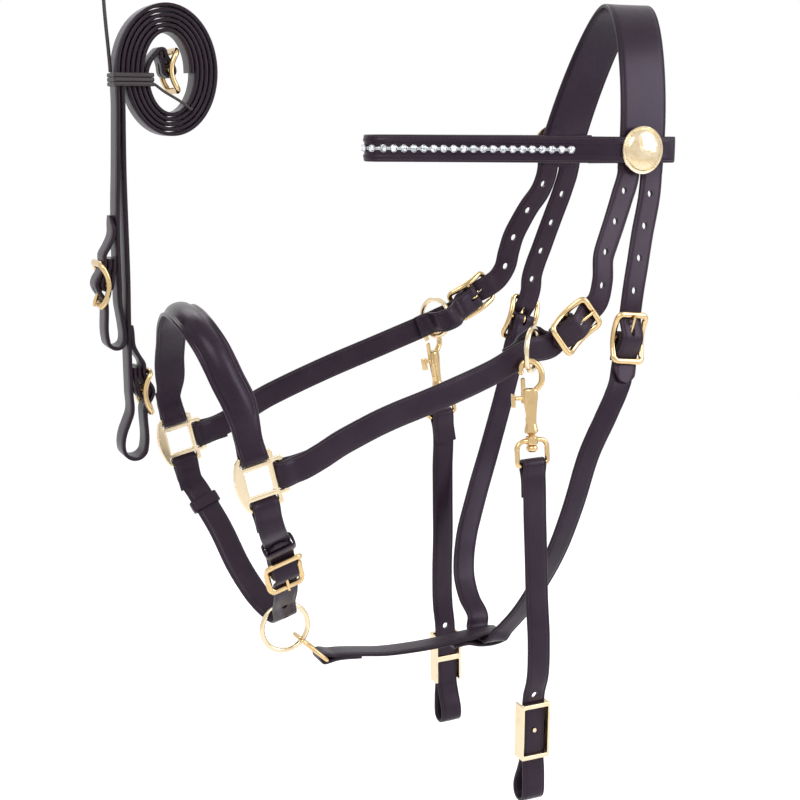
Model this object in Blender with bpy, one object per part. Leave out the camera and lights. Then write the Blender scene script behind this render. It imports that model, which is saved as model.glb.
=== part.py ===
"""A halter bridle: a leather headstall with a noseband that turns it into a halter,
two snap-on bit hangers with Conway buckles, and a pair of reins hung up in a coil.

Units are metres, +Z is up, the nose points to -X and the near (left) side is -Y.
The origin is the middle of the crown's underside, where it rests on the horse's poll.
"""
import math

import bmesh
import bpy
from mathutils import Vector

MM = 0.001

# Leather
STRAP_WIDTH = 19.0 * MM          # the three-quarter inch strap of the cheeks, hangers and reins
LEATHER = 2.6 * MM               # one ply
CROWN_WIDTH = 40.0 * MM
CROWN_LEATHER = 3.4 * MM
CROWN_SLIT = 1.6 * MM            # between the two billets on each side
NOSE_WIDTH = 24.0 * MM
NOSE_ROLL = 4.4 * MM             # how proud the padded middle of the noseband stands
BROW_WIDTH = 19.6 * MM
BROW_LEATHER = 3.6 * MM
BROW_LOOP_LEATHER = 2.4 * MM     # where the browband's ends go round the crown

# Fits
SEAT = 0.3 * MM                  # gap between pieces that touch
SIDE_PLAY = 0.75 * MM            # on each side of a strap in its buckle
HOLE_WIDTH = 4.4 * MM            # punched buckle holes
HOLE_LENGTH = 5.6 * MM
HOLE_PITCH = 25.4 * MM

# Metal
WIRE = 3.8 * MM                  # buckle frames
BAR = 3.8 * MM                   # buckle centre bars
BUCKLE_LENGTH = 38.0 * MM
CHIN_BUCKLE_LENGTH = 31.0 * MM
TONGUE_WIRE = 2.3 * MM
RING_WIRE = 4.0 * MM
CHEEK_RING = 35.0 * MM           # outer diameters of the rings
CHIN_RING = 41.0 * MM
SQUARE_PLATE = 3.4 * MM          # thickness of the halter squares
SQUARE_BAR = 3.4 * MM
CONCHO = 36.0 * MM
CONCHO_DOME = 7.0 * MM

# Shape of the head that the headstall goes round
CROWN_HALF_SPAN = 58.0 * MM
CROWN_RISE = 112.0 * MM
BROW_DROP = 107.0 * MM           # from the poll down to the browband


def at(x, y, z):
    """A place given in millimetres."""
    return Vector((x, y, z)) * MM


class Place:
    """A local frame on a strap: along it, out from its face, and across it."""

    def __init__(self, origin, along, out):
        self.origin = Vector(origin)
        self.along = Vector(along).normalized()
        out = Vector(out)
        self.out = (out - self.along * out.dot(self.along)).normalized()
        self.across = self.along.cross(self.out)

    def at(self, s, n, w=0.0):
        return self.origin + self.along * s + self.out * n + self.across * w


def place_on(station, side):
    """A place on a strap from one of its stations, facing out on its side."""
    point, width, out, mitre = station
    if out.dot(outward(side)) < 0:
        out = -out
    return Place(point, out.cross(width), out)


def moved_out(line, across, side, distance, length):
    """The first length of a strap's middle line, moved out from its face."""
    found = []
    run = 0.0
    for number, (point, width, out, mitre) in enumerate(stations(line, across)):
        if number:
            run += (point - line[number - 1]).length
        if run > length:
            break
        sign = 1 if out.dot(outward(side)) > 0 else -1
        found.append(point + out * (sign * mitre * distance))
    return found


def outward(side):
    return Vector((0, -1 if side == "near" else 1, 0))


# Materials

def material(name, colour, roughness, metallic=0.0):
    made = bpy.data.materials.get(name)
    if made is None:
        made = bpy.data.materials.new(name)
        made.use_nodes = True
        shader = made.node_tree.nodes["Principled BSDF"]
        shader.inputs["Base Color"].default_value = (*colour, 1.0)
        shader.inputs["Roughness"].default_value = roughness
        shader.inputs["Metallic"].default_value = metallic
    return made


FINISHES = {
    "leather": ((0.030, 0.023, 0.036), 0.42, 0.0),
    "brass": ((0.66, 0.45, 0.19), 0.22, 1.0),
    "crystal": ((0.80, 0.84, 0.90), 0.08, 0.0),
    "cord": ((0.02, 0.02, 0.022), 0.8, 0.0),
}


def add(name, mesh, finish, pivot=None):
    """An object from a bmesh in world places, its origin on the pivot where it has one."""
    bmesh.ops.recalc_face_normals(mesh, faces=mesh.faces)
    if pivot is not None:
        bmesh.ops.translate(mesh, verts=mesh.verts, vec=-pivot)
    data = bpy.data.meshes.new(name)
    mesh.to_mesh(data)
    mesh.free()
    data.shade_smooth()
    data.set_sharp_from_angle(angle=math.radians(35))
    colour, roughness, metallic = FINISHES[finish]
    data.materials.append(material(name + "_" + finish, colour, roughness, metallic))
    made = bpy.data.objects.new(name, data)
    if pivot is not None:
        made.location = pivot
    bpy.context.scene.collection.objects.link(made)
    return made


def cutter(mesh):
    """A hidden solid for a Boolean."""
    bmesh.ops.recalc_face_normals(mesh, faces=mesh.faces)
    data = bpy.data.meshes.new("cutter")
    mesh.to_mesh(data)
    mesh.free()
    made = bpy.data.objects.new("cutter", data)
    made.hide_render = True
    made.display_type = "WIRE"
    bpy.context.scene.collection.objects.link(made)
    return made


def carve(piece, meshes, operation="DIFFERENCE"):
    """Cuts closed meshes out of a piece, or joins them to it, and applies the result."""
    for mesh in meshes:
        tool = cutter(mesh)
        step = piece.modifiers.new("carve", "BOOLEAN")
        step.operation = operation
        step.solver = "EXACT"
        step.object = tool
        bpy.context.view_layer.update()
        graph = bpy.context.evaluated_depsgraph_get()
        result = bpy.data.meshes.new_from_object(piece.evaluated_get(graph))
        piece.modifiers.clear()
        old = piece.data
        piece.data = result
        bpy.data.meshes.remove(old)
        bpy.data.objects.remove(tool)
    return piece


# Sweeps: a section carried along a line of places

def directions(points, closed):
    """The bisecting direction at each point, and one over the cosine of half its bend."""
    count = len(points)
    found = []
    for i in range(count):
        before = points[i] - points[i - 1] if i or closed else None
        after = points[(i + 1) % count] - points[i] if i < count - 1 or closed else None
        before = (before or after).normalized()
        after = (after or before).normalized()
        middle = (before + after).normalized()
        found.append((middle, 1.0 / max(middle.dot(after), 0.5)))
    return found


def stations(points, across, closed=False):
    """Place, width direction, outward direction and mitre at each point of a line."""
    if isinstance(across, Vector):
        across = [across] * len(points)
    line = []
    for point, width, (along, mitre) in zip(points, across, directions(points, closed)):
        width = (width - along * width.dot(along)).normalized()
        line.append((point, width, width.cross(along), mitre))
    return line


def skin(rings, closed=False):
    """A closed bmesh through rings of the same number of places."""
    mesh = bmesh.new()
    made = [[mesh.verts.new(place) for place in ring] for ring in rings]
    pairs = list(zip(made, made[1:]))
    if closed:
        pairs.append((made[-1], made[0]))
    size = len(made[0])
    for first, second in pairs:
        for i in range(size):
            j = (i + 1) % size
            mesh.faces.new((first[i], first[j], second[j], second[i]))
    if not closed:
        mesh.faces.new(made[0])
        mesh.faces.new(made[-1])
    return mesh


def slab(width, thick):
    """The four corners of a strap's section, as (across, out)."""
    return [(width / 2, thick / 2), (-width / 2, thick / 2), (-width / 2, -thick / 2), (width / 2, -thick / 2)]


def disc(radius, sides):
    """The corners of a round section, as (across, out)."""
    turns = [2 * math.pi * (i + 0.5) / sides for i in range(sides)]
    return [(radius * math.cos(a), radius * math.sin(a)) for a in turns]


def sweep(points, across, section, closed=False):
    """A bmesh swept along points; section is one outline, or a function of the point's number."""
    rings = []
    for i, (point, width, out, mitre) in enumerate(stations(points, across, closed)):
        outline = section(i) if callable(section) else section
        rings.append([point + width * a + out * (b * mitre) for a, b in outline])
    return skin(rings, closed)


def hermite(p, q, m, n, t):
    a = 2 * t ** 3 - 3 * t ** 2 + 1
    b = t ** 3 - 2 * t ** 2 + t
    c = -2 * t ** 3 + 3 * t ** 2
    d = t ** 3 - t ** 2
    return p * a + m * b + q * c + n * d


def curve(points, step, start=None, end=None):
    """A smooth line through points, with a place about every step; ends may state a direction."""
    count = len(points)
    slopes = []
    for i in range(count):
        if i == 0:
            slope = start if start is not None else points[1] - points[0]
        elif i == count - 1:
            slope = end if end is not None else points[-1] - points[-2]
        else:
            before = points[i] - points[i - 1]
            after = points[i + 1] - points[i]
            slope = before / before.length ** 2 + after / after.length ** 2
        slopes.append(slope.normalized())
    line = [points[0]]
    for i in range(count - 1):
        reach = (points[i + 1] - points[i]).length
        parts = max(1, round(reach / step))
        for k in range(1, parts + 1):
            line.append(hermite(points[i], points[i + 1], slopes[i] * reach, slopes[i + 1] * reach, k / parts))
    return line


def spread(first, last, count):
    """Width directions that turn evenly from the first to the last."""
    return [first.lerp(last, i / max(1, count - 1)) for i in range(count)]


def arc(place, s, n, radius, start, stop, parts):
    """Places on an arc in a strap's side view; angles in degrees from along towards out."""
    line = []
    for k in range(parts + 1):
        angle = math.radians(start + (stop - start) * k / parts)
        line.append(place.at(s + radius * math.cos(angle), n + radius * math.sin(angle)))
    return line


# Plain solids in a place's own directions

def block(place, s, n, w):
    """A box between pairs of values along, out and across."""
    rings = []
    for value in s:
        rings.append([place.at(value, n[0], w[0]), place.at(value, n[1], w[0]),
                      place.at(value, n[1], w[1]), place.at(value, n[0], w[1])])
    return skin(rings)


def rod(start, stop, radius, sides=8, end_radius=None):
    """A round bar between two places, tapered where it has an end radius."""
    along = (stop - start).normalized()
    side = along.orthogonal().normalized()
    radii = [radius, radius if end_radius is None else end_radius]
    return sweep([start, stop], side, lambda i: disc(radii[i], sides))


def punch(place, s=0.0, w=0.0, length=HOLE_LENGTH, width=HOLE_WIDTH, depth=4 * LEATHER):
    """The oval prism that punches a buckle hole."""
    outline = [(math.cos(a) * length / 2, math.sin(a) * width / 2)
               for a in [2 * math.pi * (i + 0.5) / 8 for i in range(8)]]
    return skin([[place.at(s + a, side * depth / 2, w + b) for a, b in outline] for side in (-1, 1)])


def hoop(centre, first, second, radius, wire, around=20, sides=6):
    """A ring of round wire in the plane of two directions."""
    line = []
    for k in range(around):
        angle = 2 * math.pi * k / around
        line.append(centre + first * (radius * math.cos(angle)) + second * (radius * math.sin(angle)))
    return sweep(line, first.cross(second), disc(wire / 2, sides), closed=True)


def link(place, half_length, half_width, corner, wire, dip=0.0, sides=6, parts=3):
    """A rounded rectangle of wire; its side rails sink by dip at the middle."""
    line = []
    for along, aside, start in ((1, 1, 0), (-1, 1, 90), (-1, -1, 180), (1, -1, 270)):
        for k in range(parts + 1):
            angle = math.radians(start + 90 * k / parts)
            line.append((along * (half_length - corner) + corner * math.cos(angle),
                         aside * (half_width - corner) + corner * math.sin(angle)))
        if dip and start in (0, 180):
            line += [(along * part * half_length, aside * half_width) for part in (0.4, 0.0, -0.4)]
    places = []
    for s, w in line:
        sink = dip * max(0.0, 1.0 - (s / half_length) ** 2)
        places.append(place.at(s, -sink, w))
    return sweep(places, place.out, disc(wire / 2, sides), closed=True)


class Buckle:
    """A whole buckle on a strap: along points to the billet that comes in, out to the face.

    The billet goes under the tip bar, over the centre bar and under the lower bar. The
    chape of the other strap folds round the centre bar below it.
    """

    BUMP = 6.0 * MM              # how far the billet rises over the centre bar
    CURL = (5, 75)               # degrees round the bar at which the tongue's wire begins and leaves

    def __init__(self, place, length=BUCKLE_LENGTH):
        self.place = place
        self.half = (length - WIRE) / 2
        self.rail = STRAP_WIDTH / 2 + SIDE_PLAY + WIRE / 2
        self.under = -(WIRE / 2 + SEAT + LEATHER / 2)
        slope = math.pi * self.BUMP / (2 * self.half)
        self.ply = (LEATHER + SEAT) * math.hypot(1.0, slope)
        self.fold = BAR / 2 + SEAT + LEATHER / 2
        self.bar = self.billet_height(0.0) - self.ply - self.fold

    def billet_height(self, s):
        s = max(-self.half, min(self.half, s))
        return self.under + self.BUMP * (1 + math.cos(math.pi * s / self.half)) / 2

    def chape_height(self, s):
        return self.billet_height(s) - self.ply

    def tail_height(self, s):
        top = self.bar - self.fold
        low = self.chape_height(-self.half) - LEATHER - 1.6 * SEAT
        s = min(self.half, abs(s))
        return top + (low - top) * (1 - math.cos(math.pi * s / self.half)) / 2

    def steps(self, first, last, parts):
        return [first + (last - first) * k / parts for k in range(parts + 1)]

    def billet(self, lead, tail):
        """The billet's middle line from lead above the tip bar to tail past the lower one."""
        inside = self.steps(self.half, -self.half, 8)
        line = [self.half + lead] + inside + [-self.half - tail]
        return [self.place.at(s, self.billet_height(s)) for s in line]

    def chape_outer(self, lead):
        """The outer ply from lead below the lower bar up to the top of the centre bar."""
        line = [-self.half - lead] + self.steps(-self.half, 0.0, 5)
        return [self.place.at(s, self.chape_height(s)) for s in line]

    def chape_fold(self):
        """The ply's turn round the centre bar, without its first point."""
        return arc(self.place, 0.0, self.bar, self.fold, 90, -90, 6)[1:]

    def chape_tail(self, tail):
        """The inner ply from under the centre bar to tail below the lower one."""
        line = self.steps(0.0, -self.half, 4)[1:]
        if tail > 0:
            line.append(-self.half - tail)
        return [self.place.at(s, self.tail_height(s)) for s in line]

    def frame(self, name):
        made = add(name, link(self.place, self.half, self.rail, 3.4 * MM, WIRE, -self.bar), "brass")
        bar = rod(self.place.at(0, self.bar, -self.rail), self.place.at(0, self.bar, self.rail), BAR / 2)
        return carve(made, [bar], "UNION")

    def arm(self, s):
        """Height of the tongue's arm, which lies on the tip bar."""
        start, stop = self.tongue_start()
        tip = (self.half + 0.6 * MM, WIRE / 2 + SEAT + TONGUE_WIRE / 2)
        part = (s - start) / (tip[0] - start)
        return stop + (tip[1] - stop) * part

    def tongue_start(self):
        loop = BAR / 2 + SEAT + TONGUE_WIRE / 2
        angle = math.radians(self.CURL[1])
        return loop * math.cos(angle), self.bar + loop * math.sin(angle)

    def tongue(self, name):
        """The tongue: wire curled round the centre bar and laid on the tip bar."""
        loop = BAR / 2 + SEAT + TONGUE_WIRE / 2
        line = arc(self.place, 0.0, self.bar, loop, self.CURL[0], self.CURL[1] - 360, 12)
        tip = self.half + 1.4 * MM
        for part in (0.3, 0.65, 1.0):
            s = self.tongue_start()[0] + (tip - self.tongue_start()[0]) * part
            line.append(self.place.at(s, self.arm(s)))
        last = len(line) - 1

        def section(i):
            return disc(TONGUE_WIRE / 2 * (0.7 if i == last else 1.0), 6)

        return add(name, sweep(line, self.place.across, section), "brass",
                   self.place.at(0, self.bar))

    def billet_slot(self):
        """The punched slot that the tongue stands in."""
        reach = LEATHER / 2 * 1.12 + TONGUE_WIRE / 2 + 2 * SEAT
        inside = [s for s in self.steps(0.0, self.half, 80) if abs(self.arm(s) - self.billet_height(s)) < reach]
        side = TONGUE_WIRE / 2 + 2 * SEAT
        middle = self.billet_height(sum(inside) / len(inside))
        room = 3 * LEATHER
        return block(self.place, (inside[0] - 2 * SEAT, inside[-1] + 2 * SEAT), (middle - room, middle + room),
                     (-side, side))

    def chape_slot(self):
        side = TONGUE_WIRE / 2 + 2 * SEAT
        loop = BAR / 2 + SEAT + TONGUE_WIRE + 3 * SEAT
        return block(self.place, (-loop, self.fold + LEATHER), (self.bar - 2 * self.fold, self.bar + 2 * self.fold),
                     (-side, side))


def fold_round(place, bar, lead, tail, parts=6, gap=None):
    """A strap that comes along -s on its outer side, turns round a bar at the place and goes back."""
    radius = bar / 2 + SEAT + LEATHER / 2
    spacing = (LEATHER + SEAT * 1.5) if gap is None else gap
    outer = spacing / 2
    pinch = -radius * 2.4
    line = [place.at(-lead, outer), place.at(pinch, outer)]
    line += arc(place, 0.0, 0.0, radius, 115, -115, parts)
    line.append(place.at(pinch, -outer))
    line.append(place.at(-tail, -outer))
    return line


def keeper(name, place, layers, width=STRAP_WIDTH, band=9.0 * MM, ply=1.8 * MM):
    """A leather loop round a stack of straps from the first height to the second."""
    low, high = layers
    room = SEAT + ply / 2
    half = width / 2 + room
    top = high + room
    base = low - room
    turn = 0.8 * MM
    outline = [(half, base + turn), (half, top - turn), (half - turn, top), (-half + turn, top),
               (-half, top - turn), (-half, base + turn), (-half + turn, base), (half - turn, base)]
    line = [place.at(0, n, w) for w, n in outline]
    return add(name, sweep(line, place.along, slab(band, ply), closed=True), "leather")


# Crown: one strap over the poll that is slit into two billets on each side

SPLIT_DROP = 123.0 * MM          # from the poll down to the end of the slit
BILLET_SPACING = STRAP_WIDTH + CROWN_SLIT


def crown_line(parts=21):
    """Middle line and width directions of the unslit crown, near side first.

    An odd number of parts leaves one level facet over the poll.
    """
    top = math.sin(math.pi * (parts // 2) / parts)
    points = []
    across = []
    for k in range(parts + 1):
        angle = math.pi * k / parts
        rise = math.sin(angle)
        x = -20.0 * MM * (1 - rise) - 6.5 * MM * math.sin(2 * angle)
        y = -CROWN_HALF_SPAN * math.cos(angle)
        z = CROWN_LEATHER / 2 - CROWN_RISE * (top - rise)
        points.append(Vector((x, y, z)))
        across.append(Vector((-1, 0, 0)))
    ends = []
    for side in (-1, 1):
        ends.append(Vector((-21.5 * MM, side * (CROWN_HALF_SPAN + 1.2 * MM), -SPLIT_DROP)))
    return [ends[0]] + points + [ends[1]], [across[0]] + across + [across[0]]


# Places of the eight straps that hang from the crown, near side first, in millimetres
BILLET_WAY = {
    ("near", "cheek"): [(-40, -63, -143), (-50.2, -68, -163), (-61.4, -73.5, -184.5)],
    ("near", "throat"): [(-15.2, -63, -143.5), (-23.1, -68, -166.7), (-31.2, -74, -192.4)],
    ("off", "cheek"): [(-36.5, 63, -143), (-45, 66, -156), (-56, 72, -180)],
    ("off", "throat"): [(-15.0, 62.5, -143), (-21, 66, -163), (-29, 72, -192), (-35, 76.5, -216)],
}
# Middle and lower end of each headstall buckle
BUCKLE_SEAT = {
    ("near", "cheek"): ((-89.5, -83, -234.5), (-105.8, -84, -247.3)),
    ("near", "throat"): ((-41.5, -83, -246.5), (-43.5, -83.5, -265.0)),
    ("off", "cheek"): ((-90.0, 83, -230.5), (-106.3, 83.5, -240.2)),
    ("off", "throat"): ((-42.2, 83, -252.5), (-48.0, 83.5, -271.0)),
}
BILLET_TAIL = {"cheek": 4.0 * MM, "throat": 27.0 * MM}
FIRST_HOLE = {"cheek": 31.5 * MM, "throat": 28.0 * MM}   # from the tongue to the next hole up
STACK = LEATHER + 1.5 * SEAT     # from one ply's middle to the next
LOOSE_STACK = STACK + 0.6 * MM   # where the plies also bend edgeways


def buckle_at(side, use):
    middle, end = BUCKLE_SEAT[side, use]
    return Buckle(Place(at(*middle), at(*middle) - at(*end), outward(side)))


def billet_run(buckle, start, across, way, lead, tail):
    """A billet from the crown's slit through its buckle; the first point is the slit's."""
    seat = buckle.billet(lead, tail)
    top = curve([start] + [at(*p) for p in way] + [seat[0]], 15 * MM, end=seat[1] - seat[0])
    widths = spread(across, buckle.place.across * (1 if across.dot(buckle.place.across) > 0 else -1), len(top))
    return top + seat[1:], widths + [widths[-1]] * (len(seat) - 1)


def crown():
    """The crown strap with its slit legs as one skin, and the punched holes in the billets."""
    points, across = crown_line()
    mesh = bmesh.new()
    outline = [CROWN_WIDTH / 2, CROWN_SLIT / 2, -CROWN_SLIT / 2, -CROWN_WIDTH / 2]
    rings = []
    top = len(points) // 2
    for number, (point, width, out, mitre) in enumerate(stations(points, across)):
        half = out * (mitre * CROWN_LEATHER / 2)
        outer = [mesh.verts.new(point + width * a - half) for a in outline]
        inner = [mesh.verts.new(point + width * a + half) for a in outline]
        if number in (top - 1, top):
            for upper, lower in zip(outer, inner):
                upper.co.z = CROWN_LEATHER
                lower.co.z = 0.0
        rings.append((outer, inner))
    for (o, i), (p, j) in zip(rings, rings[1:]):
        for k in range(3):
            mesh.faces.new((o[k], o[k + 1], p[k + 1], p[k]))
            mesh.faces.new((i[k], i[k + 1], j[k + 1], j[k]))
        mesh.faces.new((o[0], i[0], j[0], p[0]))
        mesh.faces.new((o[3], i[3], j[3], p[3]))
    holes = []
    for end, side in ((0, "near"), (-1, "off")):
        outer, inner = rings[end]
        mesh.faces.new((outer[1], outer[2], inner[2], inner[1]))
        for use, first, offset in (("cheek", 0, 1), ("throat", 2, -1)):
            buckle = buckle_at(side, use)
            start = points[end] + Vector((-offset * BILLET_SPACING / 2, 0, 0))
            line, widths = billet_run(buckle, start, Vector((-1, 0, 0)), BILLET_WAY[side, use],
                                      8 * MM, BILLET_TAIL["cheek"])
            if use == "throat":
                tail = moved_out(throat_run(side), throat_widths(side), side, LOOSE_STACK, BILLET_TAIL[use])
                sign = 1 if widths[-1].dot(throat_widths(side)[0]) > 0 else -1
                line = line[:-1] + tail
                widths = widths[:-1] + [width * sign for width in throat_widths(side)[:len(tail)]]
            corners = [outer[first], outer[first + 1], inner[first + 1], inner[first]]
            found = stations(line, widths)
            last = corners
            for number, (point, width, out, mitre) in enumerate(found[1:], 1):
                blend = min(1.0, number / 3)
                thick = CROWN_LEATHER + (LEATHER - CROWN_LEATHER) * blend
                out = out if out.dot(outward(side)) > 0 else -out
                half = STRAP_WIDTH / 2
                if use == "throat" and number >= len(found) - 1:
                    half = STRAP_WIDTH / 4
                ring = [mesh.verts.new(point + width * a + out * (b * mitre)) for a, b in
                        ((half, thick / 2), (-half, thick / 2), (-half, -thick / 2), (half, -thick / 2))]
                for k in range(4):
                    mesh.faces.new((last[k], last[(k + 1) % 4], ring[(k + 1) % 4], ring[k]))
                last = ring
            mesh.faces.new(last)
            holes.append(buckle.billet_slot())
            holes += billet_holes(line, widths, buckle, side, FIRST_HOLE[use])
    made = add("crown_strap", mesh, "leather")
    return carve(made, holes)


def billet_holes(line, widths, buckle, side, target):
    """Punches up the billet from its buckle, a hole pitch apart."""
    cuts = []
    run = 0.0
    begin = min(range(len(line)), key=lambda i: (line[i] - buckle.place.at(buckle.half / 2, 0)).length)
    for k in range(begin, 0, -1):
        step = (line[k - 1] - line[k]).length
        while run + step >= target and len(cuts) < 4:
            part = (target - run) / step
            spot = line[k].lerp(line[k - 1], part)
            along = (line[k - 1] - line[k]).normalized()
            out = widths[k].cross(along)
            cuts.append(punch(Place(spot, along, out if out.dot(outward(side)) > 0 else -out)))
            target += HOLE_PITCH
        run += step
    return cuts


# Halter squares: a plate with a window and three bars that the straps fold round

SQUARE_CENTRE = {"near": (-341.0, -88, -323.9), "off": (-345.3, 88, -331.2)}
SQUARE_TURN = 13.0               # degrees that the squares lean
SQUARE_FOLD = SQUARE_BAR / math.sqrt(2) + SEAT + LEATHER / 2
SLOT_HALF = STRAP_WIDTH / 2 + SIDE_PLAY
SQUARE_WINDOW = 9.0 * MM         # half the window
SQUARE_FRAME = 3.4 * MM          # from the window to a slot
SQUARE_SLOT = SQUARE_WINDOW + SQUARE_FRAME                      # from the middle to a slot
SQUARE_REACH = SQUARE_SLOT + SEAT + SQUARE_FOLD + LEATHER / 2   # from the middle to a bar
SQUARE_LUG = 3.2 * MM
SQUARE_FRONT = 17.2 * MM         # from the middle to the front of the plate
SQUARE_CORNER = 3.0 * MM


def square_place(side):
    """Along runs to the rear bar; the bars are SQUARE_REACH from the middle."""
    turn = math.radians(SQUARE_TURN)
    return Place(at(*SQUARE_CENTRE[side]), (math.cos(turn), 0, math.sin(turn)), outward(side))


def bar_place(side, which):
    """A place on a bar whose along points from the strap to the bar."""
    middle = square_place(side)
    up = Vector((-middle.along.z, 0, middle.along.x))
    towards = {"top": up, "rear": middle.along, "bottom": -up}[which]
    return Place(middle.origin + towards * SQUARE_REACH, -towards, outward(side))


def square(side):
    middle = square_place(side)
    up = Vector((-middle.along.z, 0, middle.along.x))
    edge = SQUARE_REACH + SQUARE_BAR / 2
    arm = SLOT_HALF + SQUARE_LUG
    nick = 0.8 * MM
    outline = [(-arm + SQUARE_CORNER, edge), (arm - nick, edge), (arm, edge - nick), (arm, arm), (edge - nick, arm),
               (edge, arm - nick), (edge, -arm + nick), (edge - nick, -arm), (arm, -arm), (arm, -edge + nick),
               (arm - nick, -edge), (-arm + SQUARE_CORNER, -edge)]
    reach = edge - SQUARE_CORNER
    for part in (-1, -0.7, -0.35, 0, 0.35, 0.7, 1):
        outline.append((-arm - (SQUARE_FRONT - arm) * (1 - part ** 2), part * reach))

    def prism(corners, half):
        rings = []
        for side_out in (-1, 1):
            shift = middle.out * (side_out * half)
            rings.append([middle.origin + middle.along * a + up * b + shift for a, b in corners])
        return skin(rings)

    def oblong(a, b):
        return prism([(a[0], b[0]), (a[1], b[0]), (a[1], b[1]), (a[0], b[1])], SQUARE_PLATE)

    slot = (SQUARE_SLOT, SQUARE_REACH - SQUARE_BAR / 2)
    wide = (-SLOT_HALF, SLOT_HALF)
    window = (-SQUARE_WINDOW, SQUARE_WINDOW)
    made = add(side + "_square", prism(outline, SQUARE_PLATE / 2), "brass")
    return carve(made, [oblong(window, window), oblong(wide, slot), oblong(wide, (-slot[1], -slot[0])),
                        oblong(slot, wide)])


# Cheek straps, from the buckle's chape to the square's rear bar

CHEEK_WAY = {
    "near": [(-125.5, -78, -250.8), (-154.8, -79.0, -263.4), (-203.7, -84, -278.3), (-250.9, -86, -291.9),
             (-281.5, -88, -303.6)],
    "off": [(-123, 80, -248.0), (-173.5, 82.5, -265.9), (-226.6, 85, -284.2), (-275.1, 87.5, -303.6)],
}
RING_TILT = {"near": 44.0, "off": 70.0}              # degrees between the ring and the strap's face
RING_OUT = {"near": 2.4 * MM, "off": 4.0 * MM}       # its middle, out from the strap's outer ply
RING_MEAN = (CHEEK_RING - RING_WIRE) / 2
CHEEK_LEAD = 11.0 * MM           # of straight strap behind a square's rear bar


def cheek_ring_place(side):
    """Middle of the cheek ring; along runs up the strap."""
    first, second = at(*CHEEK_WAY[side][0]), at(*CHEEK_WAY[side][1])
    return Place(first + outward(side) * RING_OUT[side] + Vector((0, 0, 1.0 * MM)), first - second, outward(side))


def cheek_ring_axes(side):
    """The ring's own two directions: straight down, and forwards and out."""
    tilt = math.radians(RING_TILT[side])
    return Vector((0, 0, -1)), Vector((-math.cos(tilt), 0, 0)) + outward(side) * math.sin(tilt)


def cheek_ring(side):
    down, front = cheek_ring_axes(side)
    centre = cheek_ring_place(side).origin
    return add(side + "_cheek_ring", hoop(centre, down, front, RING_MEAN, RING_WIRE, 20, 6), "brass", centre)


def cheek_strap(side):
    buckle = buckle_at(side, "cheek")
    rear = bar_place(side, "rear")
    ring = cheek_ring_place(side)
    tilt = math.radians(RING_TILT[side])
    bulge = RING_MEAN * math.sin(tilt) + RING_WIRE / 2 + 2 * SEAT + LEATHER / 2
    crest = RING_MEAN * math.cos(tilt)
    flat = -RING_OUT[side] - LEATHER - 2 * SEAT
    tail = [ring.at(-20 * MM, flat), ring.at(-9 * MM, flat), ring.at(crest - 7 * MM, -bulge),
            ring.at(crest + 4 * MM, -bulge)]
    chape = buckle.chape_outer(3 * MM) + buckle.chape_fold() + buckle.chape_tail(0)
    run = curve([chape[0]] + [at(*p) for p in CHEEK_WAY[side]] + [fold_round(rear, 0, CHEEK_LEAD, 0)[0]], 16 * MM,
                start=chape[0] - chape[1], end=rear.along)
    fold = fold_round(rear, SQUARE_BAR * math.sqrt(2), CHEEK_LEAD, 20 * MM)
    line = tail + chape[::-1] + run[1:] + fold[1:]
    first = -buckle.place.across
    last = -rear.across if rear.across.dot(buckle.place.across) > 0 else rear.across
    widths = [first] * (len(tail) + len(chape))
    widths += spread(first, last, len(run))[1:] + [last] * (len(fold) - 1)
    made = add(side + "_cheek_strap", sweep(line, widths, slab(STRAP_WIDTH, LEATHER)), "leather")
    return carve(made, [buckle.chape_slot()])


# Noseband: a padded band over the nose between the squares' top bars

NOSE_WAY = [(-352.4, -85, -270.6), (-359.3, -81, -253.6), (-366.3, -73, -234.3),
            (-371.2, -61, -222.3), (-372.8, -44, -216.2), (-371.8, -25, -214.7), (-368.1, 0, -216.5),
            (-363.6, 25, -222.5), (-360.2, 45, -232.6), (-356.6, 62, -247.5), (-354.4, 76, -265.4),
            (-352.4, 83, -283.1)]


def noseband():
    near = bar_place("near", "top")
    off = bar_place("off", "top")
    bar = SQUARE_BAR * math.sqrt(2)
    first = fold_round(near, bar, 12 * MM, 24 * MM)[::-1]
    last = fold_round(off, bar, 12 * MM, 24 * MM)
    run = curve([first[-1]] + [at(*p) for p in NOSE_WAY] + [last[0]], 14 * MM, start=-near.along, end=off.along)
    line = first + run[1:-1] + last
    across = square_place("near").along
    ends = (len(first), len(first) + len(run) - 3)

    def section(i):
        into = min(i - ends[0], ends[1] - i)
        part = max(0.0, min(1.0, into / 3))
        width = STRAP_WIDTH + (NOSE_WIDTH - STRAP_WIDTH) * part
        crest = LEATHER / 2 + NOSE_ROLL * part
        half = LEATHER / 2
        return [(width / 2, half), (width * 0.30, half + 0.01 * MM), (width * 0.20, crest), (-width * 0.20, crest),
                (-width * 0.30, half + 0.01 * MM), (-width / 2, half), (-width / 2, -half), (width / 2, -half)]

    return add("noseband", sweep(line, across, section), "leather")


# Browband, its crystals and the conchos

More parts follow.
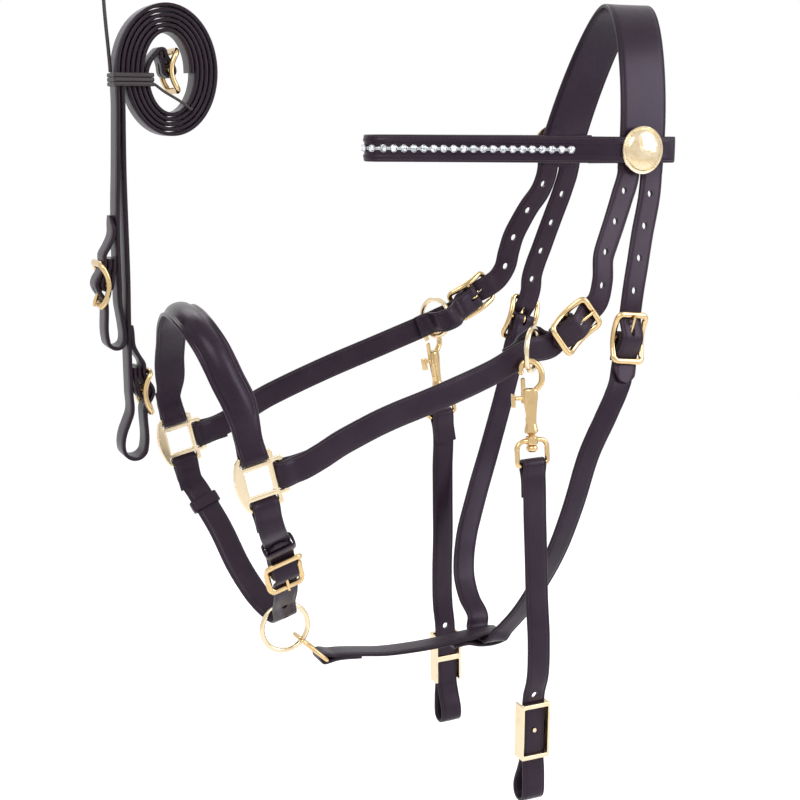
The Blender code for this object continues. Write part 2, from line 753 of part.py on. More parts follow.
BROW_FRONT = -209.5 * MM         # where the folded browband turns
BROW_TURN = 12.0 * MM            # radius of that turn
BROW_ROOM = 0.7 * MM             # play between browband and crown
LEG_MIDDLE = -20.0 * MM          # the crown's legs at the browband
BROW_OUTER = CROWN_HALF_SPAN + CROWN_LEATHER / 2 + SEAT + BROW_ROOM + BROW_LEATHER / 2
BROW_INNER = CROWN_HALF_SPAN - CROWN_LEATHER / 2 - SEAT - BROW_ROOM - BROW_LOOP_LEATHER / 2
BROW_REAR = LEG_MIDDLE + CROWN_WIDTH / 2 + 4.0 * MM
BROW_GROOVE = 0.5 * MM           # depth of the channel that the crystals lie in
CRYSTAL = 5.4 * MM
CRYSTAL_SEAT = 1.5 * MM
CRYSTAL_PITCH = 7.4 * MM
CRYSTAL_START = -75.0 * MM
CONCHO_POST = 4.6 * MM
CONCHO_MIDDLE = LEG_MIDDLE - 4.0 * MM


def brow_height(x):
    return -BROW_DROP + 2.0 * MM * max(0.0, min(1.0, (LEG_MIDDLE - x) / (LEG_MIDDLE - BROW_FRONT)))


def brow_half():
    """The near half of the browband's outer run, from the crown to the middle of its turn."""
    points = []
    lead = LEG_MIDDLE - CROWN_WIDTH / 2 - 3 * MM
    y = -BROW_OUTER
    points.append(Vector((LEG_MIDDLE + CROWN_WIDTH / 2, y, 0)))
    points.append(Vector((LEG_MIDDLE, y, 0)))
    points.append(Vector((lead, y, 0)))
    turn = BROW_TURN
    far = Vector((BROW_FRONT - turn * math.cos(math.radians(72)), -turn * math.sin(math.radians(72)), 0))
    run = far - points[-1]
    parts = 9
    for k in range(1, parts + 1):
        points.append(points[2] + run * (k / parts))
    for angle in (-60, -48, -36, -24, -12, 0):
        a = math.radians(angle)
        points.append(Vector((BROW_FRONT - turn * math.cos(a), turn * math.sin(a), 0)))
    for point in points:
        point.z = brow_height(point.x)
    return points


def mirrored(points):
    return [Vector((p.x, -p.y, p.z)) for p in points]


def both_halves(points):
    return points + mirrored(points)[::-1][1:]


def browband():
    middle = (BROW_OUTER + BROW_INNER) / 2
    radius = (BROW_OUTER - BROW_INNER) / 2
    loop = [Vector((-62 * MM, -BROW_INNER + 4.2 * MM, 0)), Vector((-43 * MM, -BROW_INNER, 0)),
            Vector((LEG_MIDDLE, -BROW_INNER, 0))]
    for k in range(7):
        a = math.radians(90 - 30 * k)
        loop.append(Vector((BROW_REAR + radius * math.cos(a), -middle + radius * math.sin(a), 0)))
    for point in loop:
        point.z = -BROW_DROP
    outer = brow_half()
    half = loop + outer
    line = both_halves(half)
    thin = len(loop)

    def section(i):
        i = min(i, len(line) - 1 - i)
        part = max(0.0, min(1.0, (i - thin) / 2))
        thick = BROW_LOOP_LEATHER + (BROW_LEATHER - BROW_LOOP_LEATHER) * part
        lip = BROW_GROOVE * part
        groove = 0.21 * BROW_WIDTH
        return [(BROW_WIDTH / 2, thick / 2), (groove, thick / 2), (groove, thick / 2 - lip - 0.01 * MM),
                (-groove, thick / 2 - lip - 0.01 * MM), (-groove, thick / 2), (-BROW_WIDTH / 2, thick / 2),
                (-BROW_WIDTH / 2, -thick / 2), (BROW_WIDTH / 2, -thick / 2)]

    made = add("browband", sweep(line, Vector((0, 0, -1)), section), "leather")
    return carve(made, [concho_hole(side) for side in ("near", "off")])


def concho_axis(side):
    return Place(Vector((CONCHO_MIDDLE, 0, -BROW_DROP)), (0, 0, 1), outward(side))


def concho_hole(side):
    axis = concho_axis(side)
    radius = CONCHO_POST / 2 + SEAT
    return rod(axis.at(0, BROW_INNER - 6 * MM), axis.at(0, BROW_OUTER + 6 * MM), radius, 10)


def turned(axis, profile, around, start=0.0):
    """A closed turned solid: profile is (radius, out) from one end of the axis to the other."""
    mesh = bmesh.new()
    rings = []
    for radius, out in profile:
        if radius == 0:
            rings.append([mesh.verts.new(axis.at(0, out))])
            continue
        ring = []
        for k in range(around):
            a = start + 2 * math.pi * k / around
            ring.append(mesh.verts.new(axis.at(radius * math.cos(a), out, radius * math.sin(a))))
        rings.append(ring)
    for first, second in zip(rings, rings[1:]):
        for k in range(around):
            j = (k + 1) % around
            corners = [first[k % len(first)], first[j % len(first)], second[j % len(second)],
                       second[k % len(second)]]
            kept = []
            for corner in corners:
                if corner not in kept:
                    kept.append(corner)
            mesh.faces.new(kept)
    for ring in (rings[0], rings[-1]):
        if len(ring) > 1:
            mesh.faces.new(ring)
    return mesh


def concho(side):
    axis = concho_axis(side)
    back = BROW_OUTER + BROW_LEATHER / 2 + SEAT
    rim = CONCHO / 2
    profile = [(0, back + CONCHO_DOME), (rim * 0.42, back + CONCHO_DOME * 0.92),
               (rim * 0.76, back + CONCHO_DOME * 0.68), (rim * 0.95, back + CONCHO_DOME * 0.34),
               (rim, back + 1.2 * MM), (rim * 0.97, back),
               (CONCHO_POST / 2, back), (CONCHO_POST / 2, BROW_INNER - BROW_LOOP_LEATHER / 2 - 0.2 * MM)]
    return add(side + "_concho", turned(axis, profile, 20), "brass", axis.at(0, back))


def concho_screw(side):
    axis = concho_axis(side)
    top = BROW_INNER - BROW_LOOP_LEATHER / 2 - SEAT - 0.2 * MM
    profile = [(5.5 * MM, top), (5.5 * MM, top - 1.2 * MM), (4.2 * MM, top - 2.0 * MM)]
    return add(side + "_concho_screw", turned(axis, profile, 12), "brass")


def crystal_strip():
    """The cup chain: a narrow ribbon with a bead at every crystal."""
    rise = BROW_LEATHER / 2 + 1.5 * SEAT + CRYSTAL_SEAT / 2 - BROW_GROOVE
    band = stations(both_halves(brow_half()), Vector((0, 0, -1)))
    guide = [point + out * (mitre * rise) for point, width, out, mitre in band[2:-2]]
    lengths = [0.0]
    for a, b in zip(guide, guide[1:]):
        lengths.append(lengths[-1] + (b - a).length)
    total = lengths[-1]
    lead = next(length for point, length in zip(guide, lengths) if point.x < CRYSTAL_START)
    count = round((total - 2 * lead) / CRYSTAL_PITCH)
    first = (total - count * CRYSTAL_PITCH) / 2
    line = []
    halves = []
    for k in range(2 * count + 1):
        run = first + k * CRYSTAL_PITCH / 2
        i = next(i for i in range(1, len(lengths)) if lengths[i] >= run)
        part = (run - lengths[i - 1]) / (lengths[i] - lengths[i - 1])
        line.append(guide[i - 1].lerp(guide[i], part))
        halves.append((CRYSTAL if k % 2 else CRYSTAL * 0.62) / 2)

    def section(i):
        thick = CRYSTAL_SEAT / 2
        return [(halves[i], thick), (-halves[i], thick), (-halves[i], -thick), (halves[i], -thick)]

    return add("crystal_strip", sweep(line, Vector((0, 0, -1)), section), "crystal")


# Chin: a tab and a buckle on the near side, one long strap from the off side, and a ring

CHIN_BUCKLE_SEAT = (-311, -56, -403.3)
CHIN_BUCKLE_ALONG = (0.25, 0.5, -0.83)
CHIN_APEX = (-294.5, 0, -456.0)
CHIN_WAY = [(-333.5, 81, -372), (-322.5, 64, -397), (-312.5, 38, -429.5), (-302.5, 15, -449)]
CHIN_RING_SEAT = (-291.9, 0, -464.9)
CHIN_TAIL = 30.0 * MM            # of the billet, above its buckle
CHIN_RING_MEAN = (CHIN_RING - RING_WIRE) / 2


def chin_buckle():
    return Buckle(Place(at(*CHIN_BUCKLE_SEAT), CHIN_BUCKLE_ALONG, outward("near")), CHIN_BUCKLE_LENGTH)


def chin_tab_run():
    """The tab's outer ply from the buckle's upper bar to the square's bottom bar."""
    buckle = chin_buckle()
    bar = bar_place("near", "bottom")
    chape = buckle.chape_outer(2 * MM)
    lead = fold_round(bar, 0, 12 * MM, 0)[0]
    return curve([chape[0], lead], 9 * MM, start=chape[0] - chape[1], end=bar.along)


def chin_tab():
    buckle = chin_buckle()
    bar = bar_place("near", "bottom")
    chape = buckle.chape_outer(2 * MM) + buckle.chape_fold() + buckle.chape_tail(8 * MM)
    fold = fold_round(bar, SQUARE_BAR * math.sqrt(2), 12 * MM, 17 * MM)
    run = chin_tab_run()
    line = chape[::-1] + run[1:-1] + fold
    widths = [-buckle.place.across] * len(chape) + chin_widths()[1:-1]
    widths += [square_place("near").along] * len(fold)
    made = add("near_chin_tab", sweep(line, widths, slab(STRAP_WIDTH, LEATHER)), "leather")
    return carve(made, [buckle.chape_slot()])


def chin_widths():
    return spread(-chin_buckle().place.across, square_place("near").along, len(chin_tab_run()))


def chin_run():
    """The chin strap's outer ply from the off square's bottom bar to the buckle's tip bar."""
    bar = bar_place("off", "bottom")
    seat = chin_buckle().billet(5 * MM, 0)
    start = fold_round(bar, 0, 12 * MM, 0)[0]
    way = [start] + [at(*p) for p in CHIN_WAY] + [at(*CHIN_APEX), at(-300.5, -22, -439), seat[0]]
    return curve(way, 11 * MM, start=-bar.along, end=seat[1] - seat[0])


def chin_strap():
    buckle = chin_buckle()
    bar = bar_place("off", "bottom")
    fold = fold_round(bar, SQUARE_BAR * math.sqrt(2), 12 * MM, 22 * MM)[::-1]
    seat = buckle.billet(5 * MM, 0)[:-1]
    run = chin_run()
    tail = moved_out(chin_tab_run(), chin_widths(), "near", STACK + 0.2 * MM, CHIN_TAIL)
    line = fold + run[1:-1] + seat + tail
    widths = [square_place("off").along] * len(fold)
    widths += spread(square_place("off").along, -buckle.place.across, len(run))[1:-1]
    widths += [-buckle.place.across] * len(seat) + chin_widths()[:len(tail)]
    made = add("chin_strap", sweep(line, widths, slab(STRAP_WIDTH, LEATHER)), "leather")
    holes = [buckle.billet_slot()]
    found = stations(line, widths)
    spot = len(fold) + len(run) - 5
    for step in (0, 2):
        point, width, out, mitre = found[spot - step]
        along = width.cross(out)
        holes.append(punch(Place(point, along, out)))
    return carve(made, holes)


def chin_keepers():
    run = stations(chin_tab_run(), chin_widths())
    seat = place_on(run[2], "near")
    keeper("near_chin_keeper", seat, (-LEATHER / 2 - 0.6 * MM, STACK + LEATHER / 2 + 0.5 * MM))
    seat = place_on(stations(chin_run(), square_place("off").along)[2], "off")
    keeper("off_chin_keeper", seat, (-LEATHER / 2 - 0.7 * MM, LEATHER / 2 + 0.7 * MM))


def chin_ring():
    centre = at(*CHIN_RING_SEAT)
    ring = hoop(centre, Vector((1, 0, 0)), Vector((0, 0, 1)), CHIN_RING_MEAN, RING_WIRE, 24, 6)
    return add("chin_ring", ring, "brass", centre)


# Jaw: a link on the chin ring, a strap back under the jaw, and the throatlatch through its loop

DEE_WIRE = 3.2 * MM
DEE_LENGTH = 27.0 * MM           # between the middles of its two bars
DEE_EYE = 8.8 * MM               # half its width at the ring
DEE_PLAY = 0.95 * MM             # between its front bar and the ring
DEE_TURN = 43.0                  # degrees that it points down from the ring
JAW_HEIGHT = -500.0 * MM
THROAT_MIDDLE = -117.0 * MM      # where the throatlatch crosses under the throat
JAW_FOLD = LEATHER + 2 * SEAT + 0.2 * MM
JAW_WAY = [(-212.4, 0, -497.5), (-159.2, 0, -498.7)]


def jaw_dee_place():
    turn = math.radians(DEE_TURN)
    along = Vector((math.cos(turn), 0, -math.sin(turn)))
    start = CHIN_RING_MEAN - RING_WIRE / 2 - DEE_PLAY - DEE_WIRE / 2
    middle = at(*CHIN_RING_SEAT) + along * (start + DEE_LENGTH / 2)
    return Place(middle, along, (0.5, 0, 0.5))


def jaw_dee():
    place = jaw_dee_place()
    half = STRAP_WIDTH / 2 + SIDE_PLAY + DEE_WIRE / 2
    end = DEE_LENGTH / 2
    outline = [(end, half - 1.8 * MM), (end - 0.5 * MM, half - 0.5 * MM), (end - 1.8 * MM, half),
               (end - 7 * MM, half), (-end + 9 * MM, DEE_EYE), (-end + 3 * MM, DEE_EYE),
               (-end + 0.9 * MM, DEE_EYE - 0.9 * MM), (-end, DEE_EYE - 3 * MM)]
    outline += [(s, -w) for s, w in reversed(outline)]
    line = [place.at(s, 0, w) for s, w in outline]
    return add("jaw_dee", sweep(line, place.out, disc(DEE_WIRE / 2, 6), closed=True), "brass", place.at(end, 0))


def jaw_strap():
    bar = jaw_dee_place().at(DEE_LENGTH / 2, 0)
    front = Place(bar, (-1, 0, 0.06), (0, 0, 1))
    fold = fold_round(front, DEE_WIRE, 12 * MM, 30 * MM)[::-1]
    edge = THROAT_MIDDLE + STRAP_WIDTH / 2 + 0.6 * MM
    front_edge = THROAT_MIDDLE - STRAP_WIDTH / 2 - 1.5 * MM
    rear = [Vector((front_edge, 0, JAW_HEIGHT + JAW_FOLD)), Vector((edge, 0, JAW_HEIGHT + JAW_FOLD))]
    turn = Place(Vector((edge, 0, JAW_HEIGHT)), (1, 0, 0), (0, 0, 1))
    rear += arc(turn, 0, 0, JAW_FOLD, 90, -90, 6)[1:]
    rear.append(Vector((front_edge, 0, JAW_HEIGHT - JAW_FOLD)))
    under = JAW_HEIGHT + JAW_FOLD - STACK
    rear.append(Vector((front_edge - 9 * MM, 0, under - 1.2 * MM)))
    rear.append(Vector((front_edge - 23 * MM, 0, under - 2.0 * MM)))
    run = curve([fold[-1]] + [at(*p) for p in JAW_WAY] + [rear[0]], 22 * MM, start=-front.along,
                end=Vector((1, 0, 0)))
    line = fold + run[1:-1] + rear
    return add("jaw_strap", sweep(line, Vector((0, -1, 0)), slab(STRAP_WIDTH, LEATHER)), "leather")


THROAT_WAY = {
    "near": [(-49.5, -82.5, -280), (-59.5, -84, -300), (-75.5, -84, -331), (-85.2, -78, -373.5), (-91.5, -64, -414.2),
             (-96.5, -47, -445.2), (-103.5, -30, -473), (-111.5, -19, -490)],
    "off": [(-50.5, 83, -296), (-58, 83, -323.0), (-73.2, 78.5, -364.9), (-92.8, 67, -405.3), (-107.8, 55, -437.0),
            (-114.5, 44, -462.6), (-116, 31, -478), (-114.5, 19, -490)],
}


def throat_run(side):
    """One side's outer ply, from its buckle's lower bar down to the jaw strap's loop."""
    buckle = buckle_at(side, "throat")
    chape = buckle.chape_outer(2 * MM)
    way = [at(*p) for p in THROAT_WAY[side]]
    flat = STRAP_WIDTH / 2 + 1.0 * MM
    inwards = -outward(side)
    low = [Vector((THROAT_MIDDLE, -inwards.y * (flat + 4 * MM), JAW_HEIGHT + 1.2 * MM)),
           Vector((THROAT_MIDDLE, -inwards.y * flat, JAW_HEIGHT))]
    return curve([chape[0]] + way + low, 13 * MM, start=chape[0] - chape[1], end=inwards)


def throat_widths(side):
    """Across the strap towards the front, turned with the buckle at the top."""
    first = buckle_at(side, "throat").place.across
    if first.x > 0:
        first = -first
    run = throat_run(side)
    top = spread(first, Vector((-1, 0, 0)), 6)
    return top + [Vector((-1, 0, 0))] * (len(run) - 6)


def throatlatch():
    line = []
    widths = []
    cuts = []
    for side in ("near", "off"):
        buckle = buckle_at(side, "throat")
        chape = buckle.chape_outer(2 * MM) + buckle.chape_fold() + buckle.chape_tail(1 * MM)
        run = chape[::-1] + throat_run(side)[1:]
        across = [throat_widths(side)[0]] * len(chape) + throat_widths(side)[1:]
        line += run if side == "near" else run[::-1]
        widths += across if side == "near" else across[::-1]
        cuts.append(buckle.chape_slot())
    made = add("throatlatch", sweep(line, widths, slab(STRAP_WIDTH, LEATHER)), "leather")
    return carve(made, cuts)


# Bit hangers: a bolt snap on the cheek ring, a swivel dee, a strap, and a Conway buckle

SNAP_FOOT = {"near": (-129.5, -91, -334.0), "off": (-113.5, 89, -336.0)}
SNAP_TURN = {"near": (0.9, -0.43), "off": (0.94, 0.35)}     # the flat of each snap, seen from above
SNAP_WIRE = 4.4 * MM
SNAP_LINK = {"near": 22.0 * MM, "off": 22.5 * MM}    # from the snap's origin up to the ring's wire in its eye
SNAP_REACH = 48.5 * MM           # from the origin down to the dee's strap bar
HOOK_ANGLE = {"near": 30.0, "off": 20.0}
EYE = [(0, 5), (4.6, 7), (8.4, 11.5), (9.2, 17), (7.8, 23), (3.6, 27.4), (-1.2, 28.2), (-5.2, 25.6), (-6.2, 21.5),
       (-5.0, 18.2)]
BOLT = 3.4 * MM
BOLT_ACROSS = -4.8 * MM
BARREL_TOP = 8.0 * MM
BARREL_FOOT = -25.0 * MM
SWIVEL_POST = 4.4 * MM
SWIVEL_BOSS = (-27.5 * MM, -33.5 * MM)


def hook_point(side):
    down, front = cheek_ring_axes(side)
    angle = math.radians(HOOK_ANGLE[side])
    return cheek_ring_place(side).origin + (down * math.cos(angle) + front * math.sin(angle)) * RING_MEAN


def snap_place(side):
    """Along runs up the snap, across runs from the bolt's side to the hook's back."""
    top = hook_point(side)
    up = (top - at(*SNAP_FOOT[side])).normalized()
    across = Vector((*SNAP_TURN[side], 0)).normalized()
    across = (across - up * across.dot(up)).normalized()
    out = across.cross(up)
    return Place(top - up * SNAP_LINK[side], up, out)


def snap_hook(side):
    """Barrel, eye and swivel post in one casting, with the bolt's channel cut open."""
    place = snap_place(side)
    sizes = [(BARREL_TOP, 13.4, 7.6), (2 * MM, 13.0, 8.2), (-8 * MM, 10.4, 8.0), (-18 * MM, 10.0, 8.2),
             (BARREL_FOOT + 1.5 * MM, 11.8, 9.4), (BARREL_FOOT, 10.6, 8.6)]
    rings = []
    for s, width, depth in sizes:
        ring = []
        for k in range(10):
            a = 2 * math.pi * (k + 0.5) / 10
            ring.append(place.at(s, depth * MM / 2 * math.sin(a), width * MM / 2 * math.cos(a)))
        rings.append(ring)
    made = add(side + "_snap_hook", skin(rings), "brass", hook_point(side))
    eye = curve([place.at(s * MM, 0, x * MM) for x, s in EYE], 4.4 * MM)
    last = len(eye) - 1
    hook = sweep(eye, place.out, lambda i: disc(SNAP_WIRE / 2 * (0.8 if i == last else 1.0), 6))
    post = rod(place.at(BARREL_FOOT + 2 * MM, 0), place.at(SWIVEL_BOSS[1] - 1.5 * MM, 0), SWIVEL_POST / 2, 8)
    ball = turned(Place(place.at(SWIVEL_BOSS[1] - SEAT, 0), place.across, -place.along),
                  [(2.6 * MM, 0), (4.3 * MM, 1.6 * MM), (4.3 * MM, 3.6 * MM), (2.4 * MM, 5.4 * MM)], 10)
    carve(made, [hook, post, ball], "UNION")
    channel = rod(place.at(BARREL_TOP + 1 * MM, 0, BOLT_ACROSS), place.at(-14 * MM, 0, BOLT_ACROSS),
                  BOLT / 2 + SEAT, 8)
    slot = block(place, (-14 * MM, BARREL_TOP + 1 * MM), (-BOLT / 2 - SEAT, BOLT / 2 + SEAT),
                 (BOLT_ACROSS - 6 * MM, BOLT_ACROSS))
    return carve(made, [channel, slot])


def snap_bolt(side):
    """The sliding bolt and its thumb stud, drawn down to open the eye."""
    place = snap_place(side)
    tip = EYE[-1][1] * MM - SNAP_WIRE * 0.4 - SEAT
    foot = 1.0 * MM
    made = add(side + "_snap_bolt",
               rod(place.at(foot - 4 * MM, 0, BOLT_ACROSS), place.at(tip, 0, BOLT_ACROSS), BOLT / 2, 8),
               "brass", place.at(foot, 0, BOLT_ACROSS))
    neck = rod(place.at(foot, 0, BOLT_ACROSS), place.at(foot, 0, BOLT_ACROSS - 6.5 * MM), 1.5 * MM, 8)
    thumb = block(place, (foot - 6.5 * MM, foot + 3.5 * MM), (-2.2 * MM, 2.2 * MM),
                  (BOLT_ACROSS - 9 * MM, BOLT_ACROSS - 6 * MM))
    return carve(made, [neck, thumb], "UNION")


DEE_OUTER = 29.0 * MM


def swivel_dee(side):
    place = snap_place(side)
    top = (SWIVEL_BOSS[0] + SWIVEL_BOSS[1]) / 2
    half = (DEE_OUTER - WIRE) / 2
    middle = Place(place.at((top - SNAP_REACH) / 2, 0), place.along, outward(side))
    reach = (top + SNAP_REACH) / 2
    line = []
    for along, aside, start in ((1, 1, 0), (-1, 1, 90), (-1, -1, 180), (1, -1, 270)):
        corner = 6.0 * MM if along > 0 else 2.6 * MM
        for k in range(4):
            angle = math.radians(start + 30 * k)
            line.append(middle.at(along * (reach - corner) + corner * math.cos(angle), 0,
                                  aside * (half - corner) + corner * math.sin(angle)))
    made = add(side + "_swivel_dee", sweep(line, middle.out, disc(WIRE / 2, 6), closed=True), "brass",
               place.at(top, 0))
    boss = rod(place.at(SWIVEL_BOSS[0], 0), place.at(SWIVEL_BOSS[1], 0), 4.6 * MM, 10)
    carve(made, [boss], "UNION")
    bore = rod(place.at(SWIVEL_BOSS[0] + 1 * MM, 0), place.at(SWIVEL_BOSS[1] - 1 * MM, 0),
               SWIVEL_POST / 2 + SEAT, 10)
    return carve(made, [bore])


CONWAY_SEAT = {"near": (-122.5, -91, -545.0), "off": (-110.5, 90, -549.5)}
CONWAY_LENGTH = 45.0 * MM
CONWAY_WALL = 2.2 * MM
CONWAY_BAR = 3.6 * MM
CONWAY_REAR_BAR = 2.2 * MM
CONWAY_STUD = 4.0 * MM
BIT_LOOP = 58.0 * MM             # from the Conway buckle's middle to the bottom of the loop
HANGER_WAY = {"near": [(-126.6, -91, -376.3), (-123.5, -91, -439.2), (-122.2, -91, -505)],
              "off": [(-112.4, 90, -380), (-111.7, 90, -440), (-111.2, 90, -505)]}


def conway_place(side):
    middle = at(*CONWAY_SEAT[side])
    above = at(*HANGER_WAY[side][-1])
    return Place(middle, above - middle, outward(side))


def conway(side):
    """An open box: two side plates, a bar across the front of each end, and a studded bar behind."""
    place = conway_place(side)
    half = CONWAY_LENGTH / 2
    inner = STRAP_WIDTH / 2 + SIDE_PLAY
    front = CONWAY_BAR / 2
    rear = conway_front() - STACK - LEATHER / 2 - SEAT
    back = rear - CONWAY_REAR_BAR - 0.4 * MM
    pieces = []
    for edge in (-1, 1):
        walls = sorted((edge * inner, edge * (inner + CONWAY_WALL)))
        pieces.append(block(place, (-half + 0.7 * MM, half - 0.7 * MM), (back, front - 0.3 * MM), walls))
    outer = inner + CONWAY_WALL * 0.7
    for end in (-1, 1):
        middle = end * (half - CONWAY_BAR / 2)
        pieces.append(block(place, (middle - CONWAY_BAR / 2, middle + CONWAY_BAR / 2), (-front, front),
                            (-outer, outer)))
    pieces.append(block(place, (-2.5 * MM, 2.5 * MM), (rear - CONWAY_REAR_BAR, rear), (-outer, outer)))
    pieces.append(rod(place.at(0, rear - CONWAY_REAR_BAR / 2), place.at(0, conway_front() + LEATHER / 2 + 1.4 * MM),
                      CONWAY_STUD / 2, 8))
    made = add(side + "_conway", pieces[0], "brass")
    return carve(made, pieces[1:], "UNION")


def conway_front():
    """Height of the strap's outer ply behind the Conway buckle's bars."""
    return -(CONWAY_BAR / 2 + SEAT + LEATHER / 2)


def hanger_strap(side):
    place = snap_place(side)
    bar = Place(place.at(-SNAP_REACH, 0), place.along, outward(side))
    seat = conway_place(side)
    fold = fold_round(bar, WIRE, 12 * MM, 24 * MM)[::-1]
    front = conway_front()
    back = front - STACK
    down = [seat.at(s * MM, front) for s in (30, 0, -22)]
    loop = [seat.at(-32 * MM, front + 1.6 * MM), seat.at(-44 * MM, front + 2.4 * MM)]
    radius = 7.0 * MM
    turn = Place(seat.at(-BIT_LOOP + radius, front - radius + 2.4 * MM), seat.along, seat.out)
    loop += arc(turn, 0, 0, radius, 90, 270, 7)
    loop += [seat.at(-32 * MM, back - 3.0 * MM), seat.at(-24 * MM, back - 0.3 * MM), seat.at(-15 * MM, back),
             seat.at(16 * MM, back)]
    run = curve([fold[-1]] + [at(*p) for p in HANGER_WAY[side]] + [down[0]], 30 * MM, start=-bar.along,
                end=-seat.along)
    line = fold + run[1:-1] + down + loop
    widths = [-bar.across] * len(fold) + spread(-bar.across, -seat.across, len(run) - 2)
    widths += [-seat.across] * (len(down) + len(loop))
    made = add(side + "_hanger_strap", sweep(line, widths, slab(STRAP_WIDTH, LEATHER)), "leather", bar.origin)
    hole = rod(seat.at(0, back - 4 * MM), seat.at(0, front + 4 * MM), CONWAY_STUD / 2 + SEAT, 8)
    higher = punch(seat, s=HOLE_PITCH + 3 * MM, length=5.2 * MM, width=5.2 * MM, depth=6 * LEATHER)
    return carve(made, [hole, higher])


# Reins: two straps wound together, each with a buckled loop for the bit

COIL_CENTRE = (-371.0, 0, -53.0)
COIL_WIDE = 35.7 * MM            # half axes of the outer layer's middle line
COIL_TALL = 46.2 * MM
COIL_GAP = 0.72 * MM             # between one layer and the next
COIL_LAYER = LEATHER + COIL_GAP
COIL_TURNS = {"a": 3.0, "b": 2.5}
COIL_START = {"a": 0.0, "b": COIL_LAYER}
COIL_STEPS = 24                  # places in each turn
REIN_BUCKLE = {"a": (-424.0, 0, -195.5), "b": (-392.5, 0, -272.0)}
REIN_FACE = {"a": -1, "b": 1}
REIN_WAY = {"a": [(-409.0, 0, -120)], "b": [(-404.6, 0, -120), (-404.8, 0, -195)]}
REIN_BOTTOM = {"a": -240.0 * MM, "b": -319.5 * MM}
REIN_LOOP = {"a": 6.0 * MM, "b": 8.2 * MM}      # radius of the bit loop's middle line
REIN_BUCKLE_LENGTH = 31.5 * MM
REIN_TIP = 33.0 * MM             # of the billet above its buckle
REIN_CHAPE = 4.0 * MM            # of the chape above the buckle
CENTRE_BUCKLE_SEAT = (-366.5, 0, -52.0)
CENTRE_BUCKLE_LENGTH = 29.0 * MM


def coil(rein):
    """One strap's turns, from its tail at the left, over the top and inwards."""
    centre = at(*COIL_CENTRE)
    line = []
    for k in range(int(COIL_TURNS[rein] * COIL_STEPS) + 1):
        turns = k / COIL_STEPS
        inset = COIL_START[rein] + 2 * COIL_LAYER * turns
        a = math.pi - 2 * math.pi * turns
        line.append(centre + Vector(((COIL_WIDE - inset) * math.cos(a), 0, (COIL_TALL - inset) * math.sin(a))))
    return line


def least_gap(lines):
    """Least distance between layers of the coil, one strap's thickness taken off."""
    least = 1.0
    for i, first in enumerate(lines):
        for j, second in enumerate(lines[i:], i):
            for m, p in enumerate(first):
                for n in range(len(second) - 1):
                    if i == j and abs(n - m) < COIL_STEPS / 2:
                        continue
                    a, b = second[n], second[n + 1]
                    part = max(0.0, min(1.0, (p - a).dot(b - a) / (b - a).length_squared))
                    least = min(least, (p - a.lerp(b, part)).length)
    return least - LEATHER


def rein_buckle(rein):
    return Buckle(Place(at(*REIN_BUCKLE[rein]), (0, 0, -1), (REIN_FACE[rein], 0, 0)), REIN_BUCKLE_LENGTH)


def centre_buckle():
    return Buckle(Place(at(*CENTRE_BUCKLE_SEAT), (0, 0, -1), (1, 0, 0)), CENTRE_BUCKLE_LENGTH)


def rein_main(buckle):
    """Height of the rein's own ply behind the buckle's chape."""
    return buckle.tail_height(-buckle.half) - STACK


def rein(which):
    buckle = rein_buckle(which)
    place = buckle.place
    main = rein_main(buckle)
    reach = place.origin.z - REIN_BOTTOM[which]
    half = buckle.half
    radius = REIN_LOOP[which]
    swell = buckle.under - 2 * radius - main
    down = [place.at(-half - 20 * MM, main), place.at(0, main), place.at(half + 1 * MM, main),
            place.at(half + 8 * MM, main + 0.4 * swell), place.at(half + 16 * MM, main + 0.85 * swell)]
    turn = Place(place.at(reach - radius, buckle.under - radius), place.out, place.along)
    bottom = arc(turn, 0, 0, radius, 180, 0, 7)
    billet = buckle.billet(3 * MM, REIN_CHAPE + 2 * MM)
    billet.append(place.at(-half - REIN_CHAPE - 8 * MM, (buckle.under + main + STACK) / 2))
    billet.append(place.at(-half - REIN_CHAPE - 15 * MM, main + STACK))
    billet.append(place.at(-half - REIN_TIP, main + STACK))
    wound = coil(which)
    tail = curve([wound[0]] + [at(*p) for p in REIN_WAY[which]] + [down[0]], 24 * MM,
                 start=Vector((0, 0, -1)), end=place.along)
    line = wound[::-1][:-1] + tail + down[1:] + bottom + billet
    if which == "a":
        centre = centre_buckle()
        chape = centre.chape_outer(0.5 * MM) + centre.chape_fold() + centre.chape_tail(0)
        inner = curve([chape[0], wound[-1]], 4.5 * MM, start=chape[0] - chape[1], end=wound[-2] - wound[-1])
        line = chape[::-1] + inner[1:-1] + line
    made = add("rein_" + which, sweep(line, Vector((0, 1, 0)), slab(STRAP_WIDTH, LEATHER)), "leather")
    cuts = [buckle.billet_slot()]
    if which == "a":
        cuts.append(centre_buckle().chape_slot())
    return carve(made, cuts)


def rein_chape(which):
    buckle = rein_buckle(which)
    line = buckle.chape_outer(REIN_CHAPE) + buckle.chape_fold() + buckle.chape_tail(REIN_CHAPE)
    made = add("rein_" + which + "_chape", sweep(line, buckle.place.across, slab(STRAP_WIDTH, LEATHER)), "leather")
    return carve(made, [buckle.chape_slot()])


TIE_BAND = 9.0 * MM
TIE_DROP = 5.0 * MM              # below the middle of the coil
THONG = 2.5 * MM
THONG_TOP = 10.0 * MM            # the knot's height above the poll


def rein_tie():
    """The thong's flat hitch round all the layers of the coil."""
    centre = at(*COIL_CENTRE)
    outer = COIL_WIDE + LEATHER / 2
    inner = COIL_WIDE - 2 * COIL_LAYER * COIL_TURNS["a"] - LEATHER / 2
    seat = Place(centre + Vector((0, 0, -TIE_DROP)), (0, 0, 1), (-1, 0, 0))
    keeper("rein_tie", seat, (inner - 1.3 * MM, outer), ply=1.4 * MM, band=TIE_BAND)


